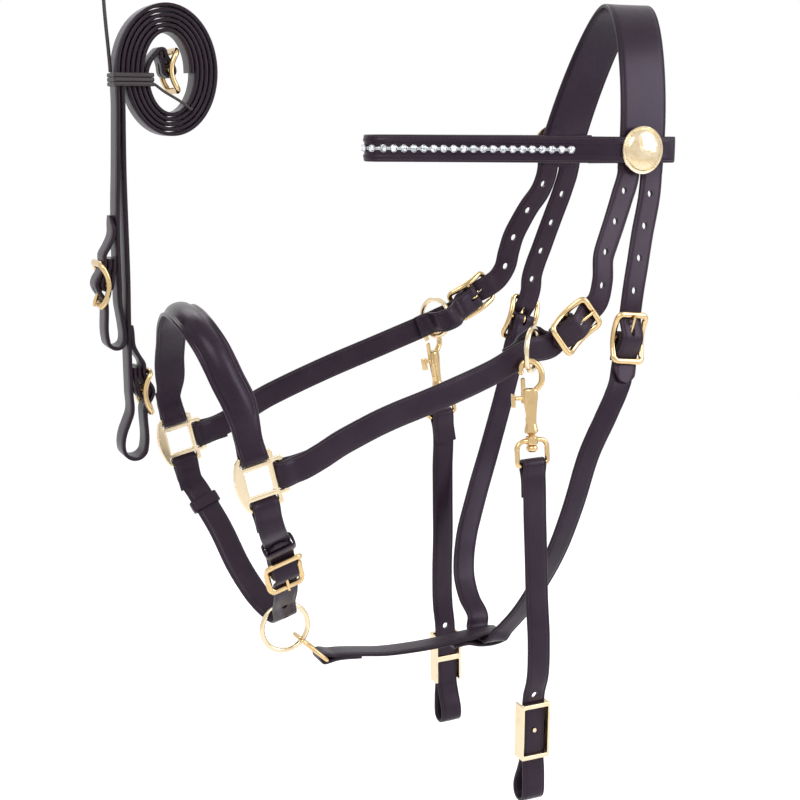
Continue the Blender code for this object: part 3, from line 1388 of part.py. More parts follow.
def thong():
    """The cord that the reins hang on, up from the hitch to its knot."""
    start = Vector((COIL_CENTRE[0] * MM - COIL_WIDE - LEATHER / 2 - SEAT - 1.5 * MM, 0,
                    COIL_CENTRE[2] * MM - TIE_DROP + TIE_BAND / 2 + SEAT))
    route = curve([start, at(-410.4, 0, -40), at(-411.4, 0, -25), at(-412.3, 0, -8),
                   Vector((-412.6 * MM, 0, THONG_TOP - 2.4 * MM - SEAT))], 6 * MM,
                  start=Vector((0, 0, 1)), end=Vector((0, 0, 1)))
    data = bpy.data.curves.new("thong", "CURVE")
    data.dimensions = "3D"
    data.bevel_depth = THONG / 2
    data.bevel_resolution = 2
    data.use_fill_caps = True
    spline = data.splines.new("POLY")
    spline.points.add(len(route) - 1)
    for point, place in zip(spline.points, route):
        point.co = (*place, 1.0)
    data.materials.append(material("thong_cord", *FINISHES["cord"]))
    made = bpy.data.objects.new("thong", data)
    bpy.context.scene.collection.objects.link(made)
    knot = Place(Vector((-412.6 * MM, 0, THONG_TOP)), (1, 0, 0), (0, 0, 1))
    profile = [(1.6 * MM, -2.4 * MM), (3.2 * MM, -1.0 * MM), (3.2 * MM, 1.2 * MM), (1.8 * MM, 2.6 * MM)]
    add("thong_knot", turned(knot, profile, 10), "cord")


def main():
    for old in list(bpy.data.objects):
        bpy.data.objects.remove(old)
    leg = crown()
    carve(leg, [concho_hole(side) for side in ("near", "off")])
    browband()
    crystal_strip()
    noseband()
    for side in ("near", "off"):
        concho(side)
        concho_screw(side)
        cheek_strap(side)
        square(side)
        cheek_ring(side)
        for use in ("cheek", "throat"):
            buckle = buckle_at(side, use)
            buckle.frame(f"{side}_{use}_buckle")
            buckle.tongue(f"{side}_{use}_tongue")
        snap_hook(side)
        snap_bolt(side)
        swivel_dee(side)
        conway(side)
        hanger_strap(side)
    chin_tab()
    chin_strap()
    chin_keepers()
    chin_buckle().frame("chin_buckle")
    chin_buckle().tongue("chin_tongue")
    chin_ring()
    jaw_dee()
    jaw_strap()
    throatlatch()
    for which in ("a", "b"):
        rein(which)
        rein_chape(which)
        rein_buckle(which).frame(f"rein_{which}_buckle")
        rein_buckle(which).tongue(f"rein_{which}_tongue")
    centre_buckle().frame("rein_centre_buckle")
    centre_buckle().tongue("rein_centre_tongue")
    rein_tie()
    thong()
    print(f"least gap between the rein coil's layers: {least_gap([coil('a'), coil('b')]) / MM:.2f} mm")


main()
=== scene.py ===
"""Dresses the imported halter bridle: creased and stitched leather, polished brass, a
crystal browband, and a pale stage with soft light.

Lengths are metres. The nose points to -X and the near (left) side is -Y.
"""
import math

import bpy
import bmesh
import numpy as np
from mathutils import Matrix, Vector


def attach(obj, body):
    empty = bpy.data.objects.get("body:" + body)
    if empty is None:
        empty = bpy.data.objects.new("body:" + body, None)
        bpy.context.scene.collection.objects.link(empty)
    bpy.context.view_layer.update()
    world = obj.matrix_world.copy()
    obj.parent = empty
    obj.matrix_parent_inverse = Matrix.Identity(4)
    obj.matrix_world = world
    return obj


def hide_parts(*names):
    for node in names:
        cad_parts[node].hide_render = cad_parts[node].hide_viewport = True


bl_info = {
    "name": "Halter bridle dressing",
    "version": (1, 0, 0),
    "blender": (4, 5, 0),
    "location": "View3D > Sidebar > Bridle",
    "description": "Makes the leather, brass and crystal pieces of a halter bridle on its packed frame",
    "category": "Mesh",
}

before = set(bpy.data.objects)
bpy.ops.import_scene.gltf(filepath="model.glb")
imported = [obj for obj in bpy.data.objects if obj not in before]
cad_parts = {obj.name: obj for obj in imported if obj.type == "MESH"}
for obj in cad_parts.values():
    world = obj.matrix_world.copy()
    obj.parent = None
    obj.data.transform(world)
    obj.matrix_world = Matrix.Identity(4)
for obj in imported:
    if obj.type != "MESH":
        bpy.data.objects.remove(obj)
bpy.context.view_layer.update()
MM = 0.001
SIDES = {"near": -1, "off": 1}     # each side's direction along Y
USES = ("cheek", "throat")         # what the crown's two billets on each side are for

# Leather
STRAP_WIDTH = 19.0 * MM
LEATHER = 2.6 * MM
CROWN_WIDTH = 40.0 * MM
CROWN_LEATHER = 3.4 * MM
CROWN_SLIT = 1.6 * MM
NOSE_WIDTH = 24.0 * MM
NOSE_ROLL = 4.4 * MM
BROW_WIDTH = 19.6 * MM
BROW_LEATHER = 3.6 * MM
BROW_LOOP_LEATHER = 2.4 * MM
SEAT = 0.3 * MM                    # gap between pieces that touch
SIDE_PLAY = 0.75 * MM
HOLE_WIDTH = 4.4 * MM
HOLE_LENGTH = 5.6 * MM
HOLE_PITCH = 25.4 * MM
STACK = LEATHER + 1.5 * SEAT       # from one ply's middle to the next
LOOSE_STACK = STACK + 0.6 * MM
STEP = 1.7 * MM                    # between a strap's sections

# Metal
WIRE = 3.8 * MM
BAR = 3.8 * MM
BUCKLE_LENGTH = 38.0 * MM
CHIN_BUCKLE_LENGTH = 31.0 * MM
REIN_BUCKLE_LENGTH = 31.5 * MM
CENTRE_BUCKLE_LENGTH = 29.0 * MM
TONGUE_WIRE = 2.3 * MM
RING_WIRE = 4.0 * MM
CHEEK_RING = 35.0 * MM
CHIN_RING = 41.0 * MM
SQUARE_BAR = 3.4 * MM
CONCHO = 36.0 * MM
CONCHO_DOME = 7.0 * MM

# The ways of the straps' middle lines, in millimetres
WAYS = {
    "near cheek billet": [(-40, -63, -143), (-50.2, -68, -163), (-61.4, -73.5, -184.5)],
    "near throat billet": [(-15.2, -63, -143.5), (-23.1, -68, -166.7), (-31.2, -74, -192.4)],
    "off cheek billet": [(-36.5, 63, -143), (-45, 66, -156), (-56, 72, -180)],
    "off throat billet": [(-15.0, 62.5, -143), (-21, 66, -163), (-29, 72, -192), (-35, 76.5, -216)],
    "near cheek": [(-125.5, -78, -250.8), (-154.8, -79.0, -263.4), (-203.7, -84, -278.3),
                   (-250.9, -86, -291.9), (-281.5, -88, -303.6)],
    "off cheek": [(-123, 80, -248.0), (-173.5, 82.5, -265.9), (-226.6, 85, -284.2), (-275.1, 87.5, -303.6)],
    "nose": [(-352.4, -85, -270.6), (-359.3, -81, -253.6), (-366.3, -73, -234.3), (-371.2, -61, -222.3),
             (-372.8, -44, -216.2), (-371.8, -25, -214.7), (-368.1, 0, -216.5), (-363.6, 25, -222.5),
             (-360.2, 45, -232.6), (-356.6, 62, -247.5), (-354.4, 76, -265.4), (-352.4, 83, -283.1)],
    "chin": [(-333.5, 81, -372), (-322.5, 64, -397), (-312.5, 38, -429.5), (-302.5, 15, -449),
             (-294.5, 0, -456.0), (-300.5, -22, -439)],
    "jaw": [(-212.4, 0, -497.5), (-159.2, 0, -498.7)],
    "near throat": [(-49.5, -82.5, -280), (-59.5, -84, -300), (-75.5, -84, -331), (-85.2, -78, -373.5),
                    (-91.5, -64, -414.2), (-96.5, -47, -445.2), (-103.5, -30, -473), (-111.5, -19, -490)],
    "off throat": [(-50.5, 83, -296), (-58, 83, -323.0), (-73.2, 78.5, -364.9), (-92.8, 67, -405.3),
                   (-107.8, 55, -437.0), (-114.5, 44, -462.6), (-116, 31, -478), (-114.5, 19, -490)],
    "near hanger": [(-126.6, -91, -376.3), (-123.5, -91, -439.2), (-122.2, -91, -505)],
    "off hanger": [(-112.4, 90, -380), (-111.7, 90, -440), (-111.2, 90, -505)],
    "rein a": [(-409.0, 0, -120)],
    "rein b": [(-404.6, 0, -120), (-404.8, 0, -195)],
    "lace": [(-410.4, 0, -40), (-411.4, 0, -25), (-412.3, 0, -8)],
    "lace end": [(-384.5, -10.2, -60.0), (-376, -11.6, -66.0), (-366, -12.6, -72.0), (-357.5, -13, -78.0)],
}


# Places and lines

def at(x, y, z):
    """A place given in millimetres."""
    return Vector((x, y, z)) * MM


def way(name):
    return [at(*place) for place in WAYS[name]]


def outward(side):
    return Vector((0, SIDES[side], 0))


class Place:
    """A local frame: along a strap, out from its face, and across it."""

    def __init__(self, origin, along, out):
        self.origin = Vector(origin)
        self.along = Vector(along).normalized()
        out = Vector(out)
        self.out = (out - self.along * out.dot(self.along)).normalized()
        self.across = self.along.cross(self.out)

    def at(self, s, n, w=0.0):
        return self.origin + self.along * s + self.out * n + self.across * w

    def moved(self, s, n):
        return Place(self.at(s, n), self.along, self.out)

    def arrays(self):
        return [np.array(v, float) for v in (self.origin, self.along, self.out, self.across)]


def stations(points, across):
    """Place, width direction, outward direction and mitre at each point of a line."""
    if isinstance(across, Vector):
        across = [across] * len(points)
    line = []
    for i, (point, width) in enumerate(zip(points, across)):
        before = points[i] - points[i - 1] if i else points[1] - points[0]
        after = points[i + 1] - points[i] if i < len(points) - 1 else before
        middle = (before.normalized() + after.normalized()).normalized()
        width = (width - middle * width.dot(middle)).normalized()
        line.append((point, width, width.cross(middle), 1.0 / max(middle.dot(after.normalized()), 0.5)))
    return line


def length(line):
    return sum((b - a).length for a, b in zip(line, line[1:]))


def moved_out(line, across, side, distance, reach):
    """The first part of a strap's middle line, up to a reach, moved out from its face."""
    found = []
    for number, (point, width, out, mitre) in enumerate(stations(line, across)):
        if length(line[:number + 1]) > reach:
            break
        sign = 1 if out.dot(outward(side)) > 0 else -1
        found.append(point + out * (sign * mitre * distance))
    return found


def cubic(first, last, leaving, arriving, reach, t):
    """The cubic from first to last with unit slopes scaled by their reach, at the part t of the way."""
    return (first * (2 * t ** 3 - 3 * t ** 2 + 1) + leaving * (reach * (t ** 3 - 2 * t ** 2 + t))
            + last * (3 * t ** 2 - 2 * t ** 3) + arriving * (reach * (t ** 3 - t ** 2)))


def curve(points, step, start=None, end=None):
    """A cubic through points, each slope the mean of its two chords over their squared lengths."""
    chords = [after - before for before, after in zip(points, points[1:])]
    slopes = [chords[0] if start is None else start]
    slopes += [a / a.length ** 2 + b / b.length ** 2 for a, b in zip(chords, chords[1:])]
    slopes.append(chords[-1] if end is None else end)
    slopes = [slope.normalized() for slope in slopes]
    line = [points[0]]
    for i, chord in enumerate(chords):
        parts = max(1, round(chord.length / step))
        line += [cubic(points[i], points[i + 1], slopes[i], slopes[i + 1], chord.length, k / parts)
                 for k in range(1, parts + 1)]
    return line


def steps(first, last, parts):
    return [first + (last - first) * k / parts for k in range(parts + 1)]


def spread(first, last, count):
    """Width directions that turn evenly from the first to the last."""
    return [first.lerp(last, i / max(1, count - 1)) for i in range(count)]


def arc(place, s, n, radius, start, stop, parts):
    """Places on an arc in a strap's side view; angles in degrees from along towards out."""
    return [place.at(s + radius * math.cos(a), n + radius * math.sin(a))
            for a in map(math.radians, steps(start, stop, parts))]


def oblong(half, rise, corners, parts, stops, end_stops):
    """Pairs (a, b) once round a rounded oblong: a corner's arc, then the stops of the side after it.

    Its corners have one radius at the +a end and one at the other; stops are parts of a side.
    """
    line = []
    for a, b, start in ((1, 1, 0), (-1, 1, 90), (-1, -1, 180), (1, -1, 270)):
        corner = corners[0] if a > 0 else corners[1]
        for angle in map(math.radians, steps(start, start + 90, parts)):
            line.append((a * (half - corner) + corner * math.cos(angle),
                         b * (rise - corner) + corner * math.sin(angle)))
        if start in (0, 180):
            line += [(a * part * (half - corner), b * rise) for part in stops]
        else:
            line += [(a * half, b * part * (rise - corner)) for part in end_stops]
    return line


OBLONG_STOPS = (0.85, 0.4, 0.0, -0.4, -0.85)


def fold_round(place, bar, lead, tail):
    """A strap that comes along -s on its outer side, turns round a bar at the place and goes back."""
    radius = bar / 2 + SEAT + LEATHER / 2
    outer = STACK / 2
    pinch = -radius * 2.4
    return ([place.at(-lead, outer), place.at(pinch, outer)] + arc(place, 0.0, 0.0, radius, 115, -115, 6)
            + [place.at(pinch, -outer), place.at(-tail, -outer)])


class Buckle:
    """A whole buckle on a strap: along points to the billet that comes in, out to the face."""

    BUMP = 6.0 * MM                     # the billet's rise over the centre bar
    CORNER = 3.4 * MM
    LOOP = BAR / 2 + SEAT + TONGUE_WIRE / 2
    CURL = (5, 75)                      # degrees at which the tongue's loop ends and its arm starts
    SLOT = TONGUE_WIRE / 2 + 2 * SEAT   # half width

    def __init__(self, place, size=BUCKLE_LENGTH):
        self.place = place
        self.half = (size - WIRE) / 2
        self.rail = STRAP_WIDTH / 2 + SIDE_PLAY + WIRE / 2
        self.under = -(WIRE / 2 + SEAT + LEATHER / 2)
        slope = math.pi * self.BUMP / (2 * self.half)
        self.ply = (LEATHER + SEAT) * math.hypot(1.0, slope)
        self.fold = BAR / 2 + SEAT + LEATHER / 2
        self.bar = self.billet_height(0.0) - self.ply - self.fold

    def billet_height(self, s):
        s = max(-self.half, min(self.half, s))
        return self.under + self.BUMP * (1 + math.cos(math.pi * s / self.half)) / 2

    def chape_height(self, s):
        return self.billet_height(s) - self.ply

    def tail_height(self, s):
        """Height of the chape's inner ply, which sinks from the bar to below the outer one."""
        top = self.bar - self.fold
        low = self.chape_height(-self.half) - LEATHER - 1.6 * SEAT
        s = min(self.half, abs(s))
        return top + (low - top) * (1 - math.cos(math.pi * s / self.half)) / 2

    def billet(self, lead, tail):
        """The billet's middle line from lead above the tip bar to tail past the lower one."""
        line = [self.half + lead] + steps(self.half, -self.half, 8) + [-self.half - tail]
        return [self.place.at(s, self.billet_height(s)) for s in line]

    def chape_outer(self, lead):
        line = [-self.half - lead] + steps(-self.half, 0.0, 5)
        return [self.place.at(s, self.chape_height(s)) for s in line]

    def chape(self, lead, tail):
        """The strap that holds the buckle: its outer ply, its fold round the bar, and its tail."""
        line = steps(0.0, -self.half, 4)[1:]
        if tail > 0:
            line.append(-self.half - tail)
        return (self.chape_outer(lead) + arc(self.place, 0.0, self.bar, self.fold, 90, -90, 6)[1:]
                + [self.place.at(s, self.tail_height(s)) for s in line])

    def tongue_start(self):
        angle = math.radians(self.CURL[1])
        return self.LOOP * math.cos(angle), self.bar + self.LOOP * math.sin(angle)

    def arm(self, s):
        """Height of the tongue's arm, which lies on the tip bar."""
        start, stop = self.tongue_start()
        tip = (self.half + 0.6 * MM, WIRE / 2 + SEAT + TONGUE_WIRE / 2)
        return stop + (tip[1] - stop) * (s - start) / (tip[0] - start)

    def frame_line(self, out):
        """The frame's middle: a rounded oblong whose side rails sink towards the centre bar."""
        corners = (self.CORNER + out,) * 2
        line = oblong(self.half + out, self.rail + out, corners, 5, OBLONG_STOPS, OBLONG_STOPS)
        return [self.place.at(s, self.bar * max(0.0, 1.0 - (s / self.half) ** 2), w) for s, w in line]

    def tongue_line(self):
        start = self.tongue_start()[0]
        arm = steps(start, self.half + 1.4 * MM, 5)[1:]
        return (arc(self.place, 0.0, self.bar, self.LOOP, self.CURL[0], self.CURL[1] - 360, 16)
                + [self.place.at(s, self.arm(s)) for s in arm])

    def billet_slot(self, depth):
        """A cutter for the punched slot that the tongue stands in."""
        reach = LEATHER / 2 * 1.12 + TONGUE_WIRE / 2 + 2 * SEAT
        inside = [s for s in steps(0.0, self.half, 80) if abs(self.arm(s) - self.billet_height(s)) < reach]
        middle = (inside[0] + inside[-1]) / 2
        return Skin().oval(self.place.moved(middle, self.billet_height(middle)),
                           (inside[-1] - inside[0]) / 2 + 2 * SEAT, self.SLOT, depth)

    def chape_slot(self, depth):
        """A cutter for the slot in the fold that the tongue's loop turns in."""
        first, last = -(BAR / 2 + SEAT + TONGUE_WIRE + 3 * SEAT), self.fold + LEATHER
        middle = self.place.moved((first + last) / 2, self.bar)
        return Skin().oval(middle, (last - first) / 2, self.SLOT, depth)


# Surfaces: grids of places worked out as whole arrays

def turns(count, offset=0.0):
    """Angles evenly once round."""
    return 2 * np.pi * (np.arange(count) + offset) / count


def round_once(angles):
    return np.append(angles, angles[0] + 2 * np.pi)


def ring(angles, x, y):
    """Directions round a circle: the cosine times x plus the sine times y."""
    return np.cos(angles)[:, None] * x + np.sin(angles)[:, None] * y


def unit(rows):
    return rows / np.linalg.norm(rows, axis=1)[:, None]


def runs(line):
    """The run along a line at each of its points."""
    return np.concatenate([[0.0], np.cumsum(np.linalg.norm(np.diff(line, axis=0), axis=1))])


def fine_line(points, widths, step, closed=False):
    """A cubic through the points at an even step, with its frame.

    Each point's slope is the sum of its two chords, each over its squared length, made a
    unit; the widths turn evenly between points and stand square to the line. Returns
    places, widths, outward directions and the run along the line, with the run of the
    last chord at its end where the line is closed.
    """
    p, w = np.array(points, float), np.array(widths, float)
    if closed:
        p, w = np.vstack([p, p[:1]]), np.vstack([w, w[:1]])
    apart = np.concatenate([[True], np.linalg.norm(np.diff(p, axis=0), axis=1) > 1e-6])
    p, w = p[apart], w[apart]
    chord = np.diff(p, axis=0)
    reach = np.linalg.norm(chord, axis=1)
    weighted = chord / reach[:, None] ** 2
    slope = np.zeros_like(p)
    slope[:-1] += weighted
    slope[1:] += weighted
    if closed:
        slope[0] += weighted[-1]
        slope[-1] = slope[0]
    slope = unit(slope)
    parts = np.maximum(1, np.ceil(reach / step)).astype(int)
    segment = np.repeat(np.arange(len(parts)), parts)
    t = (np.arange(len(segment)) - np.repeat(np.cumsum(parts) - parts, parts)) / parts[segment]
    if not closed:
        segment, t = np.append(segment, len(parts) - 1), np.append(t, 1.0)
    t = t[:, None]
    line = cubic(p[segment], p[segment + 1], slope[segment], slope[segment + 1], reach[segment][:, None], t)
    turn = w[segment] * (1 - t) + w[segment + 1] * t
    along = unit(np.roll(line, -1, 0) - np.roll(line, 1, 0) if closed else np.gradient(line, axis=0))
    turn = unit(turn - along * np.sum(turn * along, axis=1)[:, None])
    return line, turn, np.cross(turn, along), runs(np.vstack([line, line[:1]]) if closed else line)


def strap_outline(width, thick, crease, across):
    """A strap's section: rounded edges and a pressed crease beside each, on both faces.

    Returns places across and out, once round from the middle of one edge.
    """
    half, top, turn = width / 2, thick / 2, 0.4 * thick
    angles = np.radians([0.0, 30.0, 60.0, 90.0])
    a = list(half - turn + turn * np.cos(angles))
    b = list(top - turn + turn * np.sin(angles))
    if crease:
        a += [half - 1.5 * MM, half - 1.9 * MM, half - 2.3 * MM]
        b += [top, top - 0.24 * MM, top]
    edge = len(a)
    part = np.arange(1, across + 1) / (across + 1)
    a = np.array(a + list(a[-1] * (1 - part * 2)) + [-x for x in a[::-1]])
    b = np.array(b + list(top + 0.10 * MM * np.sin(np.pi * part)) + b[edge - 1::-1])
    return np.concatenate([a, a[::-1]]), np.concatenate([b, -b[::-1]])


def tip_factor(run, reach=9.0 * MM, point=0.35):
    """Width factor along a strap: one, falling on a curve to the point at its shaped tip."""
    return 1 - (1 - point) * np.clip(1 - (run[-1] - run) / reach, 0, 1) ** 1.6


def rounded(points, radius):
    """A (radius, height) profile with its inner corners turned by short arcs of a quadratic."""
    found = [points[0]]
    for before, corner, after in zip(points, points[1:], points[2:]):
        before, corner, after = (np.array(p, float) for p in (before, corner, after))
        back, on = before - corner, after - corner
        cut = min(radius, 0.45 * np.linalg.norm(back), 0.45 * np.linalg.norm(on))
        first = corner + back / np.linalg.norm(back) * cut
        last = corner + on / np.linalg.norm(on) * cut
        found += [tuple(first * (1 - t) ** 2 + corner * 2 * t * (1 - t) + last * t ** 2)
                  for t in (0.0, 0.25, 0.5, 0.75, 1.0)]
    return found + [points[-1]]


class Skin:
    """Collects grids of places into one closed mesh with a map of its straps in metres."""

    def __init__(self, sharp=40.0):
        self.sharp = sharp
        self.places, self.loops, self.sizes, self.maps = [], [], [], []
        self.count = 0

    def grid(self, places, u, v, closed=False):
        """Adds a tube: rows run along it, columns round it. Its ends are capped unless it is closed.

        u holds the run at each row and v the place across at each column, one more of each
        where the grid closes on itself. The faces are turned so that they point outwards,
        by the sign of the sum of corner triple products over the faces.
        """
        rows, columns = places.shape[:2]
        i = np.arange(rows if closed else rows - 1)[:, None]
        j = np.arange(columns)[None, :]
        i2, j2 = (i + 1) % rows, (j + 1) % columns
        quads = np.stack([i * columns + j, i2 * columns + j, i2 * columns + j2, i * columns + j2], -1)
        quads = quads.reshape(-1, 4)
        along, after, left, right = np.broadcast_arrays(u[i], u[i + 1], v[j], v[j + 1])
        maps = np.stack([np.stack(pair, -1) for pair in ((along, left), (after, left), (after, right),
                                                         (along, right))], 2).reshape(-1, 4, 2)
        flat = places.reshape(-1, 3)
        corners = flat[quads] - flat.mean(0)
        volume = sum(np.sum(corners[:, 0] * np.cross(corners[:, k], corners[:, k + 1])) for k in (1, 2))
        caps = []
        if not closed:
            first = np.arange(columns)
            caps = [(first, np.stack([np.full(columns, u[0]), v[:-1]], -1)),
                    ((first + (rows - 1) * columns)[::-1],
                     np.stack([np.full(columns, u[rows - 1]), v[:-1][::-1]], -1))]
        if volume < 0:
            quads, maps = quads[:, ::-1], maps[:, ::-1]
            caps = [(loop[::-1], spots[::-1]) for loop, spots in caps]
        self.places.append(flat)
        self.loops += [(quads + self.count).ravel()] + [loop + self.count for loop, _ in caps]
        self.sizes += [np.full(len(quads), 4)] + [np.array([columns]) for _ in caps]
        self.maps += [maps.reshape(-1, 2)] + [spots for _, spots in caps]
        self.count += len(flat)
        return self

    def strap(self, points, widths, width=STRAP_WIDTH, thick=LEATHER, tip=False, crease=True, step=STEP,
              shape=None, closed=False, across=5):
        """A section carried along a line: place + width direction times a + outward times b."""
        if isinstance(widths, Vector):
            widths = [widths] * len(points)
        line, turn, out, run = fine_line(points, widths, step, closed)
        a, b = strap_outline(width, thick, crease, across)
        wide = a * (tip_factor(run) if tip else np.ones(len(line)))[:, None]
        high = np.broadcast_to(b, wide.shape)
        if shape is not None:
            wide, high = shape(run, wide, high)
        places = line[:, None] + turn[:, None] * wide[:, :, None] + out[:, None] * high[:, :, None]
        return self.grid(places, run, np.append(a, a[0]), closed)

    def tube(self, points, radius, sides, closed=False, step=0.9 * MM, taper=1.0,
             steer=Vector((0.31, 0.53, 0.79)), flat=1.0):
        """A round wire along a line: place + radius times the turning pair of directions.

        Flat scales the wire's size in the direction that steers it, taper its far end, and
        both ends are rounded off by the square root of one less the square of what is left.
        """
        line, turn, out, run = fine_line(points, [steer] * len(points), step, closed)
        size = np.full(len(line), radius)
        if not closed:
            size = radius * (taper + (1 - taper) * np.clip((run[-1] - run) / (3 * radius), 0, 1))
            for reach in (run, run[-1] - run):
                left = np.clip(1 - reach / (0.45 * radius), 0, 0.93)
                size = size * np.sqrt(np.clip(1 - left ** 2, 0.05, 1))
        angles = turns(sides)
        places = line[:, None] + ring(angles, flat * turn[:, None], out[:, None]) * size[:, None, None]
        return self.grid(places, run, round_once(angles) * radius, closed)

    def lathe(self, place, profile, around=48):
        """A (radius, height) profile turned round: origin + radius times direction + height times out."""
        profile = np.array(profile, float)
        angles = turns(around)
        origin, along, out, across = place.arrays()
        places = origin + ring(angles, along, across) * profile[:, :1, None] + out * profile[:, 1:, None]
        return self.grid(places, runs(profile), round_once(angles) * profile[:, 0].max())

    def brick(self, place, s, n, w, edge, sides=40):
        """A block with rounded edges: a superellipse section swept along, drawn in at both ends."""
        angles = turns(sides, 0.5)
        y, x = (np.sign(v) * np.abs(v) ** 0.28 for v in (np.sin(angles), np.cos(angles)))
        inset = edge * np.array([1.0, 0.55, 0.15, 0.0])
        inset = np.concatenate([inset, inset[::-1]])
        rows = np.array([0.0, 0.12, 0.4, 1.0]) * edge
        rows = np.concatenate([rows, s[1] - s[0] - rows[::-1]])
        origin, along, out, across = place.arrays()
        half_n, half_w = (n[1] - n[0]) / 2, (w[1] - w[0]) / 2
        middle = origin + out * (n[0] + n[1]) / 2 + across * (w[0] + w[1]) / 2
        high = (half_n - inset)[:, None] * y
        wide = (half_w - inset)[:, None] * x
        places = (middle + along * (s[0] + rows)[:, None, None] + out * high[:, :, None]
                  + across * wide[:, :, None])
        return self.grid(places, rows, round_once(angles) * half_w)

    def oval(self, place, half_length, half_width, depth, sides=20):
        """A cutter straight through a place's face.

        At each of two heights: cosine times half length along + sine times half width across.
        """
        origin, along, out, across = place.arrays()
        angles = turns(sides)
        heights = np.array([-0.5, 0.5]) * depth
        section = ring(angles, along * half_length, across * half_width)
        places = origin + section + out * heights[:, None, None]
        return self.grid(places, heights, round_once(angles) * half_width)

    def mesh(self, name):
        """The collected grids as one smooth mesh, whose edges past the sharp angle stay sharp."""
        loops = np.concatenate(self.loops).astype(np.int32)
        sizes = np.concatenate(self.sizes).astype(np.int32)
        made = bpy.data.meshes.new(name)
        made.vertices.add(self.count)
        made.vertices.foreach_set("co", np.concatenate(self.places).astype(np.float32).ravel())
        made.loops.add(len(loops))
        made.loops.foreach_set("vertex_index", loops)
        made.polygons.add(len(sizes))
        made.polygons.foreach_set("loop_start", np.concatenate([[0], np.cumsum(sizes)[:-1]]).astype(np.int32))
        made.update(calc_edges=True)
        layer = made.uv_layers.new(name="strap")
        layer.data.foreach_set("uv", np.concatenate(self.maps).astype(np.float32).ravel())
        made.validate()
        made.shade_smooth()
        made.set_sharp_from_angle(angle=math.radians(self.sharp))
        return made


def linked(name, data):
    """A new object in the scene."""
    made = bpy.data.objects.new(name, data)
    bpy.context.scene.collection.objects.link(made)
    return made


def dress(made, finish, body, *nodes):
    """Gives a piece its finish; it rides on its body and stands for its nodes."""
    made.data.materials.clear()
    made.data.materials.append(finishes[finish])
    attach(made, body)
    if nodes:
        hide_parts(*nodes)
    return made


def keep(name, shape, finish, body, *nodes):
    """A finished piece from a skin or a mesh."""
    mesh = shape.mesh(name) if isinstance(shape, Skin) else shape
    return dress(linked(name, mesh), finish, body, *nodes)


def pierce(skin, *cutters):
    """A skin's mesh with the cutters' solids cut out of it, one after the other."""
    mesh = skin.mesh("blank")
    for cutter in cutters:
        piece, tool = linked("blank", mesh), linked("punch", cutter.mesh("punch"))
        cut = piece.modifiers.new("punch", "BOOLEAN")
        cut.solver = "EXACT"
        cut.object = tool
        bpy.context.view_layer.update()
        mesh = bpy.data.meshes.new_from_object(piece.evaluated_get(bpy.context.evaluated_depsgraph_get()))
        for made in (piece, tool):
            spent = made.data
            bpy.data.objects.remove(made)
            bpy.data.meshes.remove(spent)
        mesh.set_sharp_from_angle(angle=math.radians(40))
    return mesh


# The straps' lines

CHORD = {                          # about how far apart the places on each strap's way are set
    "billet": 15 * MM, "cheek": 16 * MM, "nose": 14 * MM, "tab": 9 * MM, "chin": 11 * MM, "jaw": 22 * MM,
    "throat": 13 * MM, "hanger": 30 * MM, "rein": 24 * MM, "centre": 4.5 * MM}
FOLD_TAIL = {                      # how far each strap's folded end reaches back
    "cheek": 20 * MM, "nose": 24 * MM, "tab": 17 * MM, "chin": 22 * MM, "jaw": 30 * MM, "hanger": 24 * MM}
CHAPE_LEAD = {"cheek": 3 * MM, "chin": 2 * MM, "throat": 2 * MM, "centre": 0.5 * MM}
CHAPE_TAIL = {"cheek": 0, "chin": 8 * MM, "throat": 1 * MM, "centre": 0}
BILLET_LEAD = {"crown": 8 * MM, "chin": 5 * MM, "rein": 3 * MM}
LEG_FRONT = -21.5 * MM             # where the crown's legs stand at the end of its slit
LEG_SPLAY = 1.2 * MM
SPLIT_DROP = 123.0 * MM
ROOT = 7 * MM                      # length of a billet inside the crown's end
ROOT_OUT = 0.2 * MM
ROOT_FADE = 30 * MM                # run over which a billet thins from the crown's leather to its own
CROWN_HALF_SPAN = 58.0 * MM
CROWN_RISE = 112.0 * MM
CROWN_LEAN = 20.0 * MM             # how far the crown's ends lie forward of its top
CROWN_SWAY = 6.5 * MM
BILLET_SPACING = STRAP_WIDTH + CROWN_SLIT
BUCKLE_SEAT = {                    # each buckle's middle, and a place further down its strap
    ("near", "cheek"): ((-89.5, -83, -234.5), (-105.8, -84, -247.3)),
    ("near", "throat"): ((-41.5, -83, -246.5), (-43.5, -83.5, -265.0)),
    ("off", "cheek"): ((-90.0, 83, -230.5), (-106.3, 83.5, -240.2)),
    ("off", "throat"): ((-42.2, 83, -252.5), (-48.0, 83.5, -271.0)),
}
BILLET_TAIL = {"cheek": 4.0 * MM, "throat": 27.0 * MM}
FIRST_HOLE = {"cheek": 31.5 * MM, "throat": 28.0 * MM}
HOLES = 4                          # in each billet

SQUARE_CENTRE = {"near": (-341.0, -88, -323.9), "off": (-345.3, 88, -331.2)}
SQUARE_TURN = 13.0
SQUARE_SLOT = 12.4 * MM
SQUARE_EDGE = SQUARE_BAR * math.sqrt(2)
SQUARE_REACH = SQUARE_SLOT + SEAT + SQUARE_EDGE / 2 + SEAT + LEATHER
RING_TILT = {"near": 44.0, "off": 70.0}
RING_OUT = {"near": 2.4 * MM, "off": 4.0 * MM}
RING_LIFT = 1.0 * MM
RING_MEAN = (CHEEK_RING - RING_WIRE) / 2
CHEEK_LEAD = 11.0 * MM
CHEEK_FLAT = (-20 * MM, -9 * MM)   # places of the tail behind the ring's seat
CHEEK_RISE = (-7 * MM, 4 * MM)     # and about the ring's crest, where it bulges over the ring
FOLD_LEAD = 12.0 * MM

